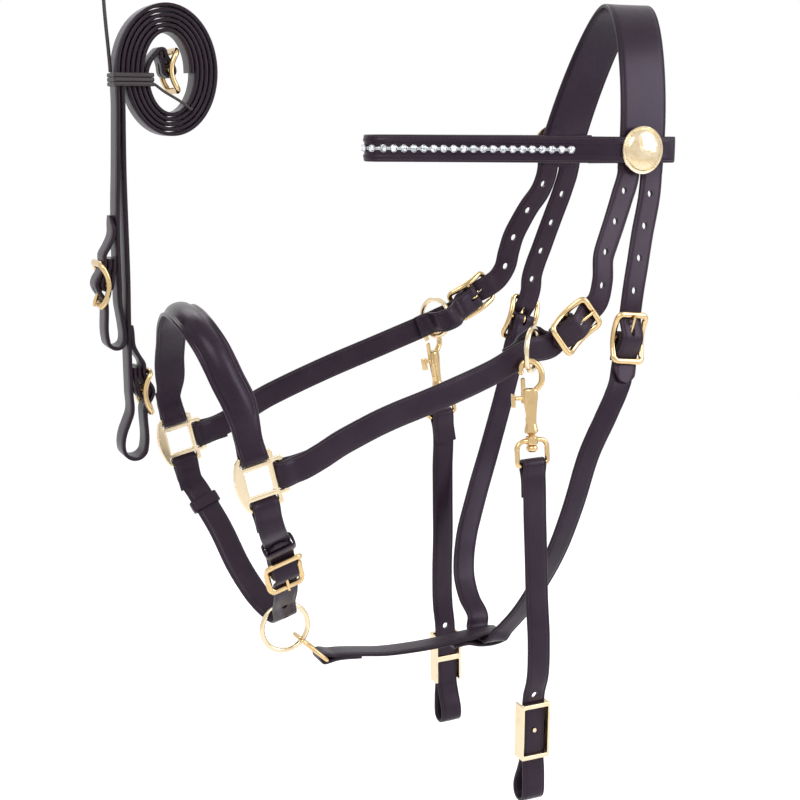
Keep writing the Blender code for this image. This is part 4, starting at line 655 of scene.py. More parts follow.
BROW_DROP = 107.0 * MM
BROW_RISE = 2.0 * MM
BROW_FRONT = -209.5 * MM
BROW_TURN = 12.0 * MM
LEG_MIDDLE = -20.0 * MM
BROW_ROOM = CROWN_LEATHER / 2 + SEAT + 0.7 * MM
BROW_OUTER = CROWN_HALF_SPAN + BROW_ROOM + BROW_LEATHER / 2
BROW_INNER = CROWN_HALF_SPAN - BROW_ROOM - BROW_LOOP_LEATHER / 2
BROW_REAR = LEG_MIDDLE + CROWN_WIDTH / 2 + 4.0 * MM
BROW_GROOVE = 0.5 * MM
BROW_BACK = [(-62 * MM, 4.2 * MM), (-43 * MM, 0), (LEG_MIDDLE, 0)]     # the inner end: x, how far out
CRYSTAL_PITCH = 7.4 * MM
CRYSTAL_START = -75.0 * MM
CONCHO_POST = 4.6 * MM
CONCHO_MIDDLE = LEG_MIDDLE - 4.0 * MM

CHIN_BUCKLE_SEAT = (-311, -56, -403.3)
CHIN_BUCKLE_ALONG = (0.25, 0.5, -0.83)
CHIN_RING_SEAT = (-291.9, 0, -464.9)
CHIN_TAIL = 30.0 * MM
CHIN_RING_MEAN = (CHIN_RING - RING_WIRE) / 2

DEE_WIRE = 3.2 * MM
DEE_LENGTH = 27.0 * MM
DEE_EYE = 8.8 * MM
DEE_PLAY = 0.95 * MM
DEE_TURN = 43.0
JAW_HEIGHT = -500.0 * MM
JAW_FOLD = LEATHER + 2 * SEAT + 0.2 * MM
JAW_TAIL = [(9 * MM, 1.2 * MM), (23 * MM, 2.0 * MM)]     # the inner ply's end: in front of the loop, down
THROAT_MIDDLE = -117.0 * MM

SNAP_FOOT = {"near": (-129.5, -91, -334.0), "off": (-113.5, 89, -336.0)}
SNAP_TURN = {"near": (0.9, -0.43, 0), "off": (0.94, 0.35, 0)}
SNAP_WIRE = 4.4 * MM
SNAP_LINK = {"near": 22.0 * MM, "off": 22.5 * MM}
SNAP_REACH = 48.5 * MM
HOOK_ANGLE = {"near": 30.0, "off": 20.0}
EYE = [(0, 3), (4.6, 7), (8.4, 11.5), (9.2, 17), (7.8, 23), (3.6, 27.4), (-1.2, 28.2), (-5.2, 25.6),
       (-6.2, 21.5), (-5.0, 18.2)]                  # the hook's middle line: across, height in mm
BOLT = 3.4 * MM
BOLT_ACROSS = -4.8 * MM
BOLT_FOOT = 1.0 * MM
BARREL_TOP = 8.0 * MM
BARREL_FOOT = -25.0 * MM
BARREL = [(BARREL_TOP, 9.8, 5.4), (BARREL_TOP - 0.9 * MM, 11.6, 7.0), (2 * MM, 11.8, 7.8),
          (-5 * MM, 10.0, 7.4), (-12 * MM, 8.4, 7.0), (-18 * MM, 8.0, 7.2),
          (BARREL_FOOT + 2.6 * MM, 10.0, 8.8), (BARREL_FOOT + 0.9 * MM, 10.4, 9.2),
          (BARREL_FOOT, 8.6, 7.4)]                  # height in metres, width and depth in mm
SWIVEL_POST = 4.4 * MM
SWIVEL_BOSS = (-27.5 * MM, -33.5 * MM)
SWIVEL_CORNERS = (6.0 * MM, 2.6 * MM)
DEE_OUTER = 29.0 * MM
CONWAY_SEAT = {"near": (-122.5, -91, -545.0), "off": (-110.5, 90, -549.5)}
CONWAY_BAR = 3.6 * MM
CONWAY_STUD = 4.0 * MM
BIT_LOOP = 58.0 * MM
BIT_LOOP_RADIUS = 7.0 * MM
BIT_LOOP_OUT = 2.4                 # in mm, like the places on the two plies that lead to the loop
HANGER_FRONT = [(30, 0), (0, 0), (-22, 0), (-32, 1.6), (-44, BIT_LOOP_OUT)]
HANGER_BACK = [(-32, 3.0), (-24, 0.3), (-15, 0), (16, 0)]

COIL_CENTRE = (-371.0, 0, -53.0)
COIL_WIDE = 35.7 * MM
COIL_TALL = 46.2 * MM
COIL_LAYER = LEATHER + 0.72 * MM
COIL_TURNS = {"a": 3.0, "b": 2.5}
COIL_START = {"a": 0.0, "b": COIL_LAYER}
COIL_STEPS = 24
REIN_BUCKLE = {"a": (-424.0, 0, -195.5), "b": (-392.5, 0, -272.0)}
REIN_FACE = {"a": -1, "b": 1}
REIN_BOTTOM = {"a": -240.0 * MM, "b": -319.5 * MM}
REIN_LOOP = {"a": 6.0 * MM, "b": 8.2 * MM}
REIN_TIP = 33.0 * MM
REIN_CHAPE = 4.0 * MM
REIN_LEAD = 20 * MM
REIN_SWELL = [(1 * MM, 0), (8 * MM, 0.4), (16 * MM, 0.85)]     # below the frame, part of the swell
REIN_TAIL = (8 * MM, 15 * MM)      # where the tip comes down to the strap, and where it lies on it
CENTRE_BUCKLE_SEAT = (-366.5, 0, -52.0)
TIE_BAND = 9.0 * MM
TIE_DROP = 5.0 * MM
TIE_TURNS = 3
THONG = 2.5 * MM
THONG_END = 1.9 * MM
KNOT = (-412.6, 0, 10.0)


def crown_line(parts=21):
    """Middle line of the unslit crown, near side first."""
    top = math.sin(math.pi * (parts // 2) / parts)
    ends = [Vector((LEG_FRONT, side * (CROWN_HALF_SPAN + LEG_SPLAY), -SPLIT_DROP)) for side in SIDES.values()]
    points = [Vector((-CROWN_LEAN * (1 - math.sin(angle)) - CROWN_SWAY * math.sin(2 * angle),
                      -CROWN_HALF_SPAN * math.cos(angle),
                      CROWN_LEATHER / 2 - CROWN_RISE * (top - math.sin(angle))))
              for angle in steps(0.0, math.pi, parts)]
    return [ends[0]] + points + [ends[1]]


def buckle_at(side, use):
    middle, end = (at(*place) for place in BUCKLE_SEAT[side, use])
    return Buckle(Place(middle, middle - end, outward(side)))


def billet_line(side, use):
    """One leg of the crown, from the slit down through its buckle to its tip, with its widths."""
    buckle = buckle_at(side, use)
    offset = BILLET_SPACING / 2 if use == "cheek" else -BILLET_SPACING / 2
    start = Vector((LEG_FRONT - offset, SIDES[side] * (CROWN_HALF_SPAN + LEG_SPLAY), -SPLIT_DROP))
    across = Vector((-1, 0, 0))
    seat = buckle.billet(BILLET_LEAD["crown"], BILLET_TAIL["cheek"])
    top = curve([start] + way(f"{side} {use} billet") + [seat[0]], CHORD["billet"], end=seat[1] - seat[0])
    last = buckle.place.across * (1 if across.dot(buckle.place.across) > 0 else -1)
    widths = spread(across, last, len(top))
    line = top + seat[1:]
    widths += [widths[-1]] * (len(seat) - 1)
    if use == "throat":
        run, run_widths = throat_run(side)
        tail = moved_out(run, run_widths, side, LOOSE_STACK, BILLET_TAIL[use])
        sign = 1 if widths[-1].dot(run_widths[0]) > 0 else -1
        line = line[:-1] + tail
        widths = widths[:-1] + [width * sign for width in run_widths[:len(tail)]]
    root = start + Vector((0, -SIDES[side] * ROOT_OUT, ROOT))
    return [root] + line, [across] + widths, buckle


def billet_holes(line, widths, buckle, target):
    """The holes up a billet from its buckle, a hole pitch apart."""
    found = []
    run = 0.0
    begin = min(range(len(line)), key=lambda i: (line[i] - buckle.place.at(buckle.half / 2, 0)).length)
    for k in range(begin, 0, -1):
        along = line[k - 1] - line[k]
        while run + along.length >= target and len(found) < HOLES:
            spot = line[k].lerp(line[k - 1], (target - run) / along.length)
            found.append(Place(spot, along, widths[k].cross(along)))
            target += HOLE_PITCH
        run += along.length
    return found


def square_place(side):
    turn = math.radians(SQUARE_TURN)
    return Place(at(*SQUARE_CENTRE[side]), (math.cos(turn), 0, math.sin(turn)), outward(side))


def bar_place(side, which):
    """A place on a square's bar whose along points from the bar to the square's middle."""
    middle = square_place(side)
    up = Vector((-middle.along.z, 0, middle.along.x))
    towards = {"top": up, "rear": middle.along, "bottom": -up}[which]
    return Place(middle.origin + towards * SQUARE_REACH, -towards, outward(side))


def cheek_ring_place(side):
    """Where the ring lies on the cheek strap, along the strap there."""
    first, second = way(side + " cheek")[:2]
    out = outward(side)
    return Place(first + out * RING_OUT[side] + Vector((0, 0, RING_LIFT)), first - second, out)


def cheek_ring_axes(side):
    """The ring's own directions down and to the front."""
    tilt = math.radians(RING_TILT[side])
    return Vector((0, 0, -1)), Vector((-math.cos(tilt), 0, 0)) + outward(side) * math.sin(tilt)


def cheek_line(side):
    """The cheek strap from its tail over the ring, round the buckle's bar and on to the square."""
    buckle = buckle_at(side, "cheek")
    rear = bar_place(side, "rear")
    ring_seat = cheek_ring_place(side)
    tilt = math.radians(RING_TILT[side])
    bulge = RING_MEAN * math.sin(tilt) + RING_WIRE / 2 + 2 * SEAT + LEATHER / 2
    crest = RING_MEAN * math.cos(tilt)
    flat = -RING_OUT[side] - LEATHER - 2 * SEAT
    tail = [ring_seat.at(s, flat) for s in CHEEK_FLAT] + [ring_seat.at(crest + s, -bulge) for s in CHEEK_RISE]
    chape = buckle.chape(CHAPE_LEAD["cheek"], CHAPE_TAIL["cheek"])
    fold = fold_round(rear, SQUARE_EDGE, CHEEK_LEAD, FOLD_TAIL["cheek"])
    run = curve([chape[0]] + way(side + " cheek") + [fold[0]], CHORD["cheek"], start=chape[0] - chape[1],
                end=rear.along)
    first = -buckle.place.across
    last = -rear.across if rear.across.dot(buckle.place.across) > 0 else rear.across
    widths = [first] * (len(tail) + len(chape))
    widths += spread(first, last, len(run))[1:] + [last] * (len(fold) - 1)
    return tail + chape[::-1] + run[1:] + fold[1:], widths, buckle


def nose_line():
    """The noseband's near fold, its run over the nose, and its off fold."""
    near, off = bar_place("near", "top"), bar_place("off", "top")
    first = fold_round(near, SQUARE_EDGE, FOLD_LEAD, FOLD_TAIL["nose"])[::-1]
    last = fold_round(off, SQUARE_EDGE, FOLD_LEAD, FOLD_TAIL["nose"])
    run = curve([first[-1]] + way("nose") + [last[0]], CHORD["nose"], start=-near.along, end=off.along)
    return first, run[1:-1], last


def brow_half():
    """The near half of the browband's outer run, from the crown to the middle of its turn."""
    lead = Vector((LEG_MIDDLE - CROWN_WIDTH / 2 - 3 * MM, -BROW_OUTER, 0))
    turn = [Vector((BROW_FRONT - BROW_TURN * math.cos(a), BROW_TURN * math.sin(a), 0))
            for a in map(math.radians, (-72, -60, -48, -36, -24, -12, 0))]
    points = [Vector((LEG_MIDDLE + CROWN_WIDTH / 2, -BROW_OUTER, 0)), Vector((LEG_MIDDLE, -BROW_OUTER, 0))]
    points += steps(lead, turn[0], 9) + turn[1:]
    for point in points:
        part = (LEG_MIDDLE - point.x) / (LEG_MIDDLE - BROW_FRONT)
        point.z = -BROW_DROP + BROW_RISE * max(0.0, min(1.0, part))
    return points


def both_halves(points):
    """A near half's points and the same ones mirrored to the off side."""
    return points + [Vector((p.x, -p.y, p.z)) for p in points][::-1][1:]


def brow_loop():
    """The near loop of the browband behind the crown's leg."""
    loop = [Vector((x, aside - BROW_INNER, -BROW_DROP))
            for x, aside in BROW_BACK]
    rear = Place((BROW_REAR, -(BROW_OUTER + BROW_INNER) / 2, -BROW_DROP), (1, 0, 0), (0, 1, 0))
    return loop + arc(rear, 0, 0, (BROW_OUTER - BROW_INNER) / 2, 90, -90, 6)


def concho_axis(side):
    return Place(Vector((CONCHO_MIDDLE, 0, -BROW_DROP)), (0, 0, 1), outward(side))


def chin_buckle():
    return Buckle(Place(at(*CHIN_BUCKLE_SEAT), CHIN_BUCKLE_ALONG, outward("near")), CHIN_BUCKLE_LENGTH)


def chin_tab_run():
    """The near tab's outer ply, from the chin buckle up to the square, with its widths."""
    buckle = chin_buckle()
    bar = bar_place("near", "bottom")
    chape = buckle.chape_outer(CHAPE_LEAD["chin"])
    lead = fold_round(bar, 0, FOLD_LEAD, 0)[0]
    run = curve([chape[0], lead], CHORD["tab"], start=chape[0] - chape[1], end=bar.along)
    return run, spread(-buckle.place.across, square_place("near").along, len(run))


def chin_tab_line():
    """The near tab from its tail round the chin buckle's bar and up round the square's bar."""
    buckle = chin_buckle()
    run, run_widths = chin_tab_run()
    chape = buckle.chape(CHAPE_LEAD["chin"], CHAPE_TAIL["chin"])
    fold = fold_round(bar_place("near", "bottom"), SQUARE_EDGE, FOLD_LEAD, FOLD_TAIL["tab"])
    widths = [-buckle.place.across] * len(chape) + run_widths[1:-1] + [square_place("near").along] * len(fold)
    return chape[::-1] + run[1:-1] + fold, widths, buckle


def chin_run():
    """The chin strap between the off square's bar and its buckle."""
    bar = bar_place("off", "bottom")
    seat = chin_buckle().billet(BILLET_LEAD["chin"], 0)
    lead = fold_round(bar, 0, FOLD_LEAD, 0)[0]
    return curve([lead] + way("chin") + [seat[0]], CHORD["chin"], start=-bar.along, end=seat[1] - seat[0])


def chin_line():
    """The chin strap from the off square, under the chin, and through its buckle.

    Returns its line, widths and buckle, and the number of the point at its first spare hole.
    """
    buckle = chin_buckle()
    fold = fold_round(bar_place("off", "bottom"), SQUARE_EDGE, FOLD_LEAD, FOLD_TAIL["chin"])[::-1]
    seat = buckle.billet(BILLET_LEAD["chin"], 0)[:-1]
    run = chin_run()
    tab, tab_widths = chin_tab_run()
    tail = moved_out(tab, tab_widths, "near", STACK + 0.2 * MM, CHIN_TAIL)
    off_width = square_place("off").along
    widths = [off_width] * len(fold) + spread(off_width, -buckle.place.across, len(run))[1:-1]
    widths += [-buckle.place.across] * len(seat) + tab_widths[:len(tail)]
    return fold + run[1:-1] + seat + tail, widths, buckle, len(fold) + len(run) - 5


def jaw_dee_place():
    turn = math.radians(DEE_TURN)
    along = Vector((math.cos(turn), 0, -math.sin(turn)))
    start = CHIN_RING_MEAN - RING_WIRE / 2 - DEE_PLAY - DEE_WIRE / 2
    return Place(at(*CHIN_RING_SEAT) + along * (start + DEE_LENGTH / 2), along, (0.5, 0, 0.5))


def jaw_dee_line():
    """The link's wire: wide round the jaw strap, drawn in to an eye at the chin ring."""
    place = jaw_dee_place()
    half = STRAP_WIDTH / 2 + SIDE_PLAY + DEE_WIRE / 2
    end = DEE_LENGTH / 2
    outline = [(end, 0.6 * half), (end, half - 1.8 * MM), (end - 0.5 * MM, half - 0.5 * MM),
               (end - 1.8 * MM, half), (end - 7 * MM, half), (-end + 9 * MM, DEE_EYE),
               (-end + 3 * MM, DEE_EYE), (-end + 0.9 * MM, DEE_EYE - 0.9 * MM), (-end, DEE_EYE - 3 * MM),
               (-end, 2.5 * MM)]
    return [place.at(s, 0, w) for s, w in outline + [(s, -w) for s, w in reversed(outline)]]


def jaw_line():
    """The jaw strap from its fold round the link to its loop round the throatlatch."""
    front = Place(jaw_dee_place().at(DEE_LENGTH / 2, 0), (-1, 0, 0.06), (0, 0, 1))
    fold = fold_round(front, DEE_WIRE, FOLD_LEAD, FOLD_TAIL["jaw"])[::-1]
    edge = THROAT_MIDDLE + STRAP_WIDTH / 2 + 0.6 * MM
    front_edge = THROAT_MIDDLE - STRAP_WIDTH / 2 - 1.5 * MM
    under = JAW_HEIGHT + JAW_FOLD - STACK
    rear = [Vector((front_edge, 0, JAW_HEIGHT + JAW_FOLD))]
    rear += arc(Place((edge, 0, JAW_HEIGHT), (1, 0, 0), (0, 0, 1)), 0, 0, JAW_FOLD, 90, -90, 6)
    rear.append(Vector((front_edge, 0, JAW_HEIGHT - JAW_FOLD)))
    rear += [Vector((front_edge - forward, 0, under - down)) for forward, down in JAW_TAIL]
    run = curve([fold[-1]] + way("jaw") + [rear[0]], CHORD["jaw"], start=-front.along, end=Vector((1, 0, 0)))
    return fold + run[1:-1] + rear


def throat_run(side):
    """One side's outer ply, from its buckle's lower bar down to the jaw strap's loop, with its widths."""
    buckle = buckle_at(side, "throat")
    chape = buckle.chape_outer(CHAPE_LEAD["throat"])
    flat = STRAP_WIDTH / 2 + 1.0 * MM
    low = [Vector((THROAT_MIDDLE, SIDES[side] * (flat + 4 * MM), JAW_HEIGHT + 1.2 * MM)),
           Vector((THROAT_MIDDLE, SIDES[side] * flat, JAW_HEIGHT))]
    run = curve([chape[0]] + way(side + " throat") + low, CHORD["throat"], start=chape[0] - chape[1],
                end=-outward(side))
    first = buckle.place.across * (-1 if buckle.place.across.x > 0 else 1)
    last = Vector((-1, 0, 0))
    return run, spread(first, last, 6) + [last] * (len(run) - 6)


def throat_line():
    """The throatlatch from the near buckle's fold to the off one's, with its widths."""
    line, widths = [], []
    for side in SIDES:
        run, across = throat_run(side)
        chape = buckle_at(side, "throat").chape(CHAPE_LEAD["throat"], CHAPE_TAIL["throat"])
        line += (chape[::-1] + run[1:])[::-SIDES[side]]
        widths += ([across[0]] * len(chape) + across[1:])[::-SIDES[side]]
    return line, widths


def snap_place(side):
    """Along runs up the snap, across runs from the bolt's side to the hook's back."""
    down, front = cheek_ring_axes(side)
    angle = math.radians(HOOK_ANGLE[side])
    top = cheek_ring_place(side).origin + (down * math.cos(angle) + front * math.sin(angle)) * RING_MEAN
    up = (top - at(*SNAP_FOOT[side])).normalized()
    across = Vector(SNAP_TURN[side])
    across = (across - up * across.dot(up)).normalized()
    return Place(top - up * SNAP_LINK[side], up, across.cross(up))


def hanger_line(side):
    """The bit hanger's strap: round the dee, down, round the bit's loop and back up.

    Returns its line and widths, the Conway buckle's place, and the heights of its two plies there.
    """
    bar = Place(snap_place(side).at(-SNAP_REACH, 0), snap_place(side).along, outward(side))
    middle = at(*CONWAY_SEAT[side])
    seat = Place(middle, way(side + " hanger")[-1] - middle, outward(side))
    fold = fold_round(bar, WIRE, FOLD_LEAD, FOLD_TAIL["hanger"])[::-1]
    front = -(CONWAY_BAR / 2 + SEAT + LEATHER / 2)
    back = front - STACK
    loop = [seat.at(s * MM, front + n * MM) for s, n in HANGER_FRONT]
    turn = seat.moved(-BIT_LOOP + BIT_LOOP_RADIUS, front - BIT_LOOP_RADIUS + BIT_LOOP_OUT * MM)
    loop += arc(turn, 0, 0, BIT_LOOP_RADIUS, 90, 270, 7)
    loop += [seat.at(s * MM, back - n * MM) for s, n in HANGER_BACK]
    run = curve([fold[-1]] + way(side + " hanger") + [loop[0]], CHORD["hanger"], start=-bar.along,
                end=-seat.along)
    widths = [-bar.across] * len(fold) + spread(-bar.across, -seat.across, len(run) - 2)
    return fold + run[1:-1] + loop, widths + [-seat.across] * len(loop), seat, (front, back)


def coil(rein):
    """One strap's turns, from its tail at the left, over the top and inwards."""
    line = []
    for k in range(int(COIL_TURNS[rein] * COIL_STEPS) + 1):
        inset = COIL_START[rein] + 2 * COIL_LAYER * k / COIL_STEPS
        a = math.pi - 2 * math.pi * k / COIL_STEPS
        line.append(at(*COIL_CENTRE) + Vector(((COIL_WIDE - inset) * math.cos(a), 0,
                                               (COIL_TALL - inset) * math.sin(a))))
    return line


def rein_buckle(rein):
    return Buckle(Place(at(*REIN_BUCKLE[rein]), (0, 0, -1), (REIN_FACE[rein], 0, 0)), REIN_BUCKLE_LENGTH)


def centre_buckle():
    return Buckle(Place(at(*CENTRE_BUCKLE_SEAT), (0, 0, -1), (1, 0, 0)), CENTRE_BUCKLE_LENGTH)


def rein_line(which):
    """A rein from the middle of the coil, out and down, round its bit's loop to its tip."""
    buckle = rein_buckle(which)
    place, half, under, radius = buckle.place, buckle.half, buckle.under, REIN_LOOP[which]
    main = buckle.tail_height(-half) - STACK
    reach = place.origin.z - REIN_BOTTOM[which]
    swell = under - 2 * radius - main
    down = [place.at(-half - REIN_LEAD, main), place.at(0, main)]
    down += [place.at(half + s, main + part * swell) for s, part in REIN_SWELL]
    turn = Place(place.at(reach - radius, under - radius), place.out, place.along)
    billet = buckle.billet(BILLET_LEAD["rein"], REIN_CHAPE + 2 * MM)
    billet += [place.at(-half - REIN_CHAPE - REIN_TAIL[0], (under + main + STACK) / 2),
               place.at(-half - REIN_CHAPE - REIN_TAIL[1], main + STACK),
               place.at(-half - REIN_TIP, main + STACK)]
    wound = coil(which)
    tail = curve([wound[0]] + way("rein " + which) + [down[0]], CHORD["rein"], start=Vector((0, 0, -1)),
                 end=place.along)
    line = wound[::-1][:-1] + tail + down[1:] + arc(turn, 0, 0, radius, 180, 0, 7) + billet
    if which == "a":
        chape = centre_buckle().chape(CHAPE_LEAD["centre"], CHAPE_TAIL["centre"])
        inner = curve([chape[0], wound[-1]], CHORD["centre"], start=chape[0] - chape[1],
                      end=wound[-2] - wound[-1])
        line = chape[::-1] + inner[1:-1] + line
    return line, buckle


# Looks

STITCH = 3.0 * MM
STITCH_INSET = 1.55 * MM
BURNISH = (0.012, 0.008, 0.008, 1.0)
THREAD = (0.050, 0.036, 0.040, 1.0)


def arithmetic(operation, reverse=False):
    """A method that joins a socket and another value by a math node."""

    def method(self, other):
        return self.maths(operation, *((other, self) if reverse else (self, other)))

    return method


class Socket:
    """A node's output that adds, multiplies and subtracts like a number."""

    __add__ = arithmetic("ADD")
    __radd__ = arithmetic("ADD", True)
    __sub__ = arithmetic("SUBTRACT")
    __rsub__ = arithmetic("SUBTRACT", True)
    __mul__ = arithmetic("MULTIPLY")

    def __init__(self, tree, out):
        self.tree = tree
        self.out = out

    def maths(self, operation, *values, clamp=False):
        return self.tree.node("ShaderNodeMath", {"operation": operation, "use_clamp": clamp},
                              dict(enumerate(values)))

    def absolute(self):
        return self.maths("ABSOLUTE", self)

    def fraction(self):
        return self.maths("FRACT", self)

    def smooth(self, low, high, first=0.0, last=1.0):
        """A smooth step from the first value at low to the last at high."""
        return self.tree.node("ShaderNodeMapRange", {"interpolation_type": "SMOOTHSTEP"},
                              {"Value": self, "From Min": low, "From Max": high, "To Min": first,
                               "To Max": last}, "Result")


class Tree:
    """A node tree with one way to make a node: its type, its settings, its sockets' values."""

    def __init__(self, tree):
        self.tree = tree
        tree.nodes.clear()

    def node(self, kind, settings, inputs, output=0):
        """A new node's output; an input's value is a number, a colour or a Socket to link."""
        made = self.tree.nodes.new(kind)
        for name, value in settings.items():
            setattr(made, name, value)
        for key, value in inputs.items():
            if isinstance(value, Socket):
                self.tree.links.new(value.out, made.inputs[key])
            else:
                made.inputs[key].default_value = value
        return Socket(self, made.outputs[output] if made.outputs else None)

    def where(self, kind="Object"):
        return self.node("ShaderNodeTexCoord", {}, {}, kind)

    def parts(self, vector):
        """The three parts of a vector."""
        made = self.node("ShaderNodeSeparateXYZ", {}, {0: vector})
        return [Socket(self, out) for out in made.out.node.outputs]

    def mix(self, factor, first, second):
        """A colour between two, by the factor."""
        return self.node("ShaderNodeMix", {"data_type": "RGBA"}, {0: factor, 6: first, 7: second}, 2)

    def noise(self, where, scale, detail=3.0, roughness=0.5):
        return self.node("ShaderNodeTexNoise", {}, {"Vector": where, "Scale": scale, "Detail": detail,
                                                    "Roughness": roughness}, "Fac")

    def cells(self, where, scale, feature, **values):
        return self.node("ShaderNodeTexVoronoi", {"feature": feature},
                         {"Vector": where, "Scale": scale, **values}, "Distance")

    def bump(self, height, strength, distance):
        return self.node("ShaderNodeBump", {}, {"Height": height, "Strength": strength, "Distance": distance})

    def principled(self, colour, rough, **more):
        """A principled shader; the names of its other sockets are given with _ for a space."""
        return self.node("ShaderNodeBsdfPrincipled", {}, {"Base Color": colour, "Roughness": rough, **{
            name.replace("_", " "): value for name, value in more.items()}})


def surface(name, slot, look, *values):
    """A material for one of the frame's slots, its look given by a function of its tree."""
    made = bpy.data.materials.new(name)
    made.use_nodes = True
    made["slot"] = slot
    tree = Tree(made.node_tree)
    tree.node("ShaderNodeOutputMaterial", {}, {"Surface": look(tree, *values)})
    return made


def leather_look(tree, colour, worn, gloss, stitched, width):
    """Dark glazed hide: pebbled grain, burnished edges and, on some straps, a row of stitches."""
    where = tree.where()
    along, across, _ = tree.parts(tree.where("UV"))
    edge = across.absolute().smooth(width / 2 - 0.8 * MM, width / 2 - 0.1 * MM)
    patches = tree.noise(where, 26.0, 4.0, 0.55)
    cells = tree.cells(where, 1500.0, "DISTANCE_TO_EDGE")
    tone = tree.mix(patches.smooth(0.35, 0.72) * 0.55, colour, worn)
    tone = tree.mix(edge * 0.7, tone, BURNISH)
    height = cells.smooth(0.0, 0.16) * 0.5 + tree.noise(where, 5200.0, 2.0, 0.6) * 0.25
    height = height + tree.noise(where, 190.0) * 0.9
    if stitched:
        inset = (across.absolute() - (width / 2 - STITCH_INSET)).absolute()
        stitch = ((along * (1.0 / STITCH)).fraction() - 0.5).absolute()
        thread = inset.smooth(0.30 * MM, 0.42 * MM, 1.0, 0.0) * stitch.smooth(0.34, 0.42, 1.0, 0.0)
        trench = inset.smooth(0.35 * MM, 0.7 * MM, 1.0, 0.0)
        tone = tree.mix(thread, tone, THREAD)
        height = height + thread * 3.2 - trench * 1.6
    rough = gloss + patches * 0.16 + edge * 0.08 - cells.smooth(0.0, 0.3) * 0.05
    return tree.principled(tone, rough, Normal=tree.bump(height, 0.42, 0.07 * MM), Coat_Weight=0.06,
                           Coat_Roughness=0.22, Specular_IOR_Level=0.22, Specular_Tint=(0.95, 0.80, 1.0, 1.0))


def brass_look(tree, colour, tarnish, rough):
    """Polished brass, a little duller where hands don't reach, with fine hairlines."""
    cloud = tree.noise(tree.where(), 75.0, 4.0, 0.6)
    stretched = tree.node("ShaderNodeMapping", {}, {"Vector": tree.where(), "Scale": (1.0, 6.0, 1.4)})
    lines = tree.noise(stretched, 900.0, 2.0, 0.65)
    tone = tree.mix(cloud.smooth(0.45, 0.8) * 0.5, colour, tarnish)
    return tree.principled(tone, rough + cloud.smooth(0.4, 0.8) * 0.10 + lines * 0.03, Metallic=1.0,
                           Normal=tree.bump(lines, 0.10, 0.02 * MM))


def chased_look(tree, colour, tarnish, rough):
    """Cast and chased brass: shallow hammer marks that break up the shine."""
    marks = tree.cells(tree.where(), 330.0, "SMOOTH_F1", Smoothness=0.8)
    swirl = tree.noise(tree.where(), 170.0, 3.0, 0.55)
    tone = tree.mix(swirl.smooth(0.42, 0.68) * 0.6, colour, tarnish)
    return tree.principled(tone, rough + swirl * 0.12, Metallic=1.0,
                           Normal=tree.bump(marks * 0.8 + swirl * 0.9, 0.55, 0.40 * MM))


def crystal_look(tree):
    """Foiled glass: a bright body, with glints painted into its colour as patches of near white where its cut
    faces would flash.
    """
    painted_glint = tree.noise(tree.where(), 420.0, 1.0)
    # painted glints: a noise lifts the glass colour to near white in patches, standing in for lit cut faces
    tone = tree.mix(painted_glint.smooth(0.40, 0.62), (0.42, 0.46, 0.52, 1.0), (0.97, 0.98, 1.0, 1.0))
    return tree.principled(tone, 0.035 + painted_glint * 0.05, Metallic=0.82, Coat_Weight=1.0, Coat_Roughness=0.02,
                           Coat_IOR=1.6)


def cup_look(tree):
    """The crystals' cups: a plain white metal."""
    cloud = tree.noise(tree.where(), 300.0, 2.0)
    tone = tree.mix(cloud, (0.40, 0.40, 0.41, 1.0), (0.66, 0.66, 0.67, 1.0))
    return tree.principled(tone, 0.16 + cloud * 0.12, Metallic=1.0)


def cord_look(tree):
    """A waxed leather lace with a slow twist, its colour painted darker in the twist's grooves as shade."""
    height = tree.parts(tree.where())[2]
    ridge_and_groove_shade = ((height * 420.0 + tree.noise(tree.where(), 300.0) * 0.8).fraction() - 0.5).absolute() * 2.0
    # painted shade: the colour darkens where the twist's bump is low, in its grooves
    tone = tree.mix(ridge_and_groove_shade, (0.017, 0.012, 0.013, 1.0), (0.048, 0.035, 0.036, 1.0))
    return tree.principled(tone, 0.46 + ridge_and_groove_shade * 0.1, Normal=tree.bump(ridge_and_groove_shade, 0.5, 0.12 * MM))


def floor_look(tree, middle, reach, bright):
    """Pale paper that fades into the white backdrop towards its rim."""
    from_middle = tree.node("ShaderNodeVectorMath", {"operation": "SUBTRACT"}, {0: tree.where(), 1: middle})
    run = tree.node("ShaderNodeVectorMath", {"operation": "LENGTH"}, {0: from_middle}, "Value")
    fibre = tree.noise(tree.where(), 300.0, 3.0, 0.6)
    tone = tree.mix(fibre, (bright, bright, bright, 1.0), (bright * 0.985, bright * 0.985, bright, 1.0))
    lift = tree.mix(backdrop_rays(tree), (0.0, 0.0, 0.0, 1.0), (0.42, 0.42, 0.42, 1.0))
    paper = tree.principled(tone, 0.85, Specular_IOR_Level=0.1, Emission_Color=lift, Emission_Strength=1.0)
    clear = tree.node("ShaderNodeBsdfTransparent", {}, {"Color": (1.0, 1.0, 1.0, 1.0)})
    fade = run.smooth(reach * 0.24, reach * 0.80)
    return tree.node("ShaderNodeMixShader", {}, {0: fade, 1: paper, 2: clear})


# Settings

def colour_setting(name, description, default):
    return bpy.props.FloatVectorProperty(name=name, description=description, subtype="COLOR", size=4, min=0.0,
                                         max=1.0, default=default)


def number_setting(name, description, default, low, high, **more):
    return bpy.props.FloatProperty(name=name, description=description, default=default, min=low, max=high,
                                   **more)


class LeatherSettings(bpy.types.PropertyGroup):
    """Colour and finish of the straps."""

    colour: colour_setting("Colour", "Hide colour", (0.0170, 0.0088, 0.0170, 1.0))
    worn: colour_setting("Worn colour", "Hide colour where it is rubbed", (0.034, 0.022, 0.032, 1.0))
    gloss: number_setting("Roughness", "Roughness of the glazed face", 0.27, 0.05, 1.0)
    step: number_setting("Step", "Distance between a strap's sections", STEP, 0.5 * MM, 6 * MM, unit="LENGTH",
                         precision=4)


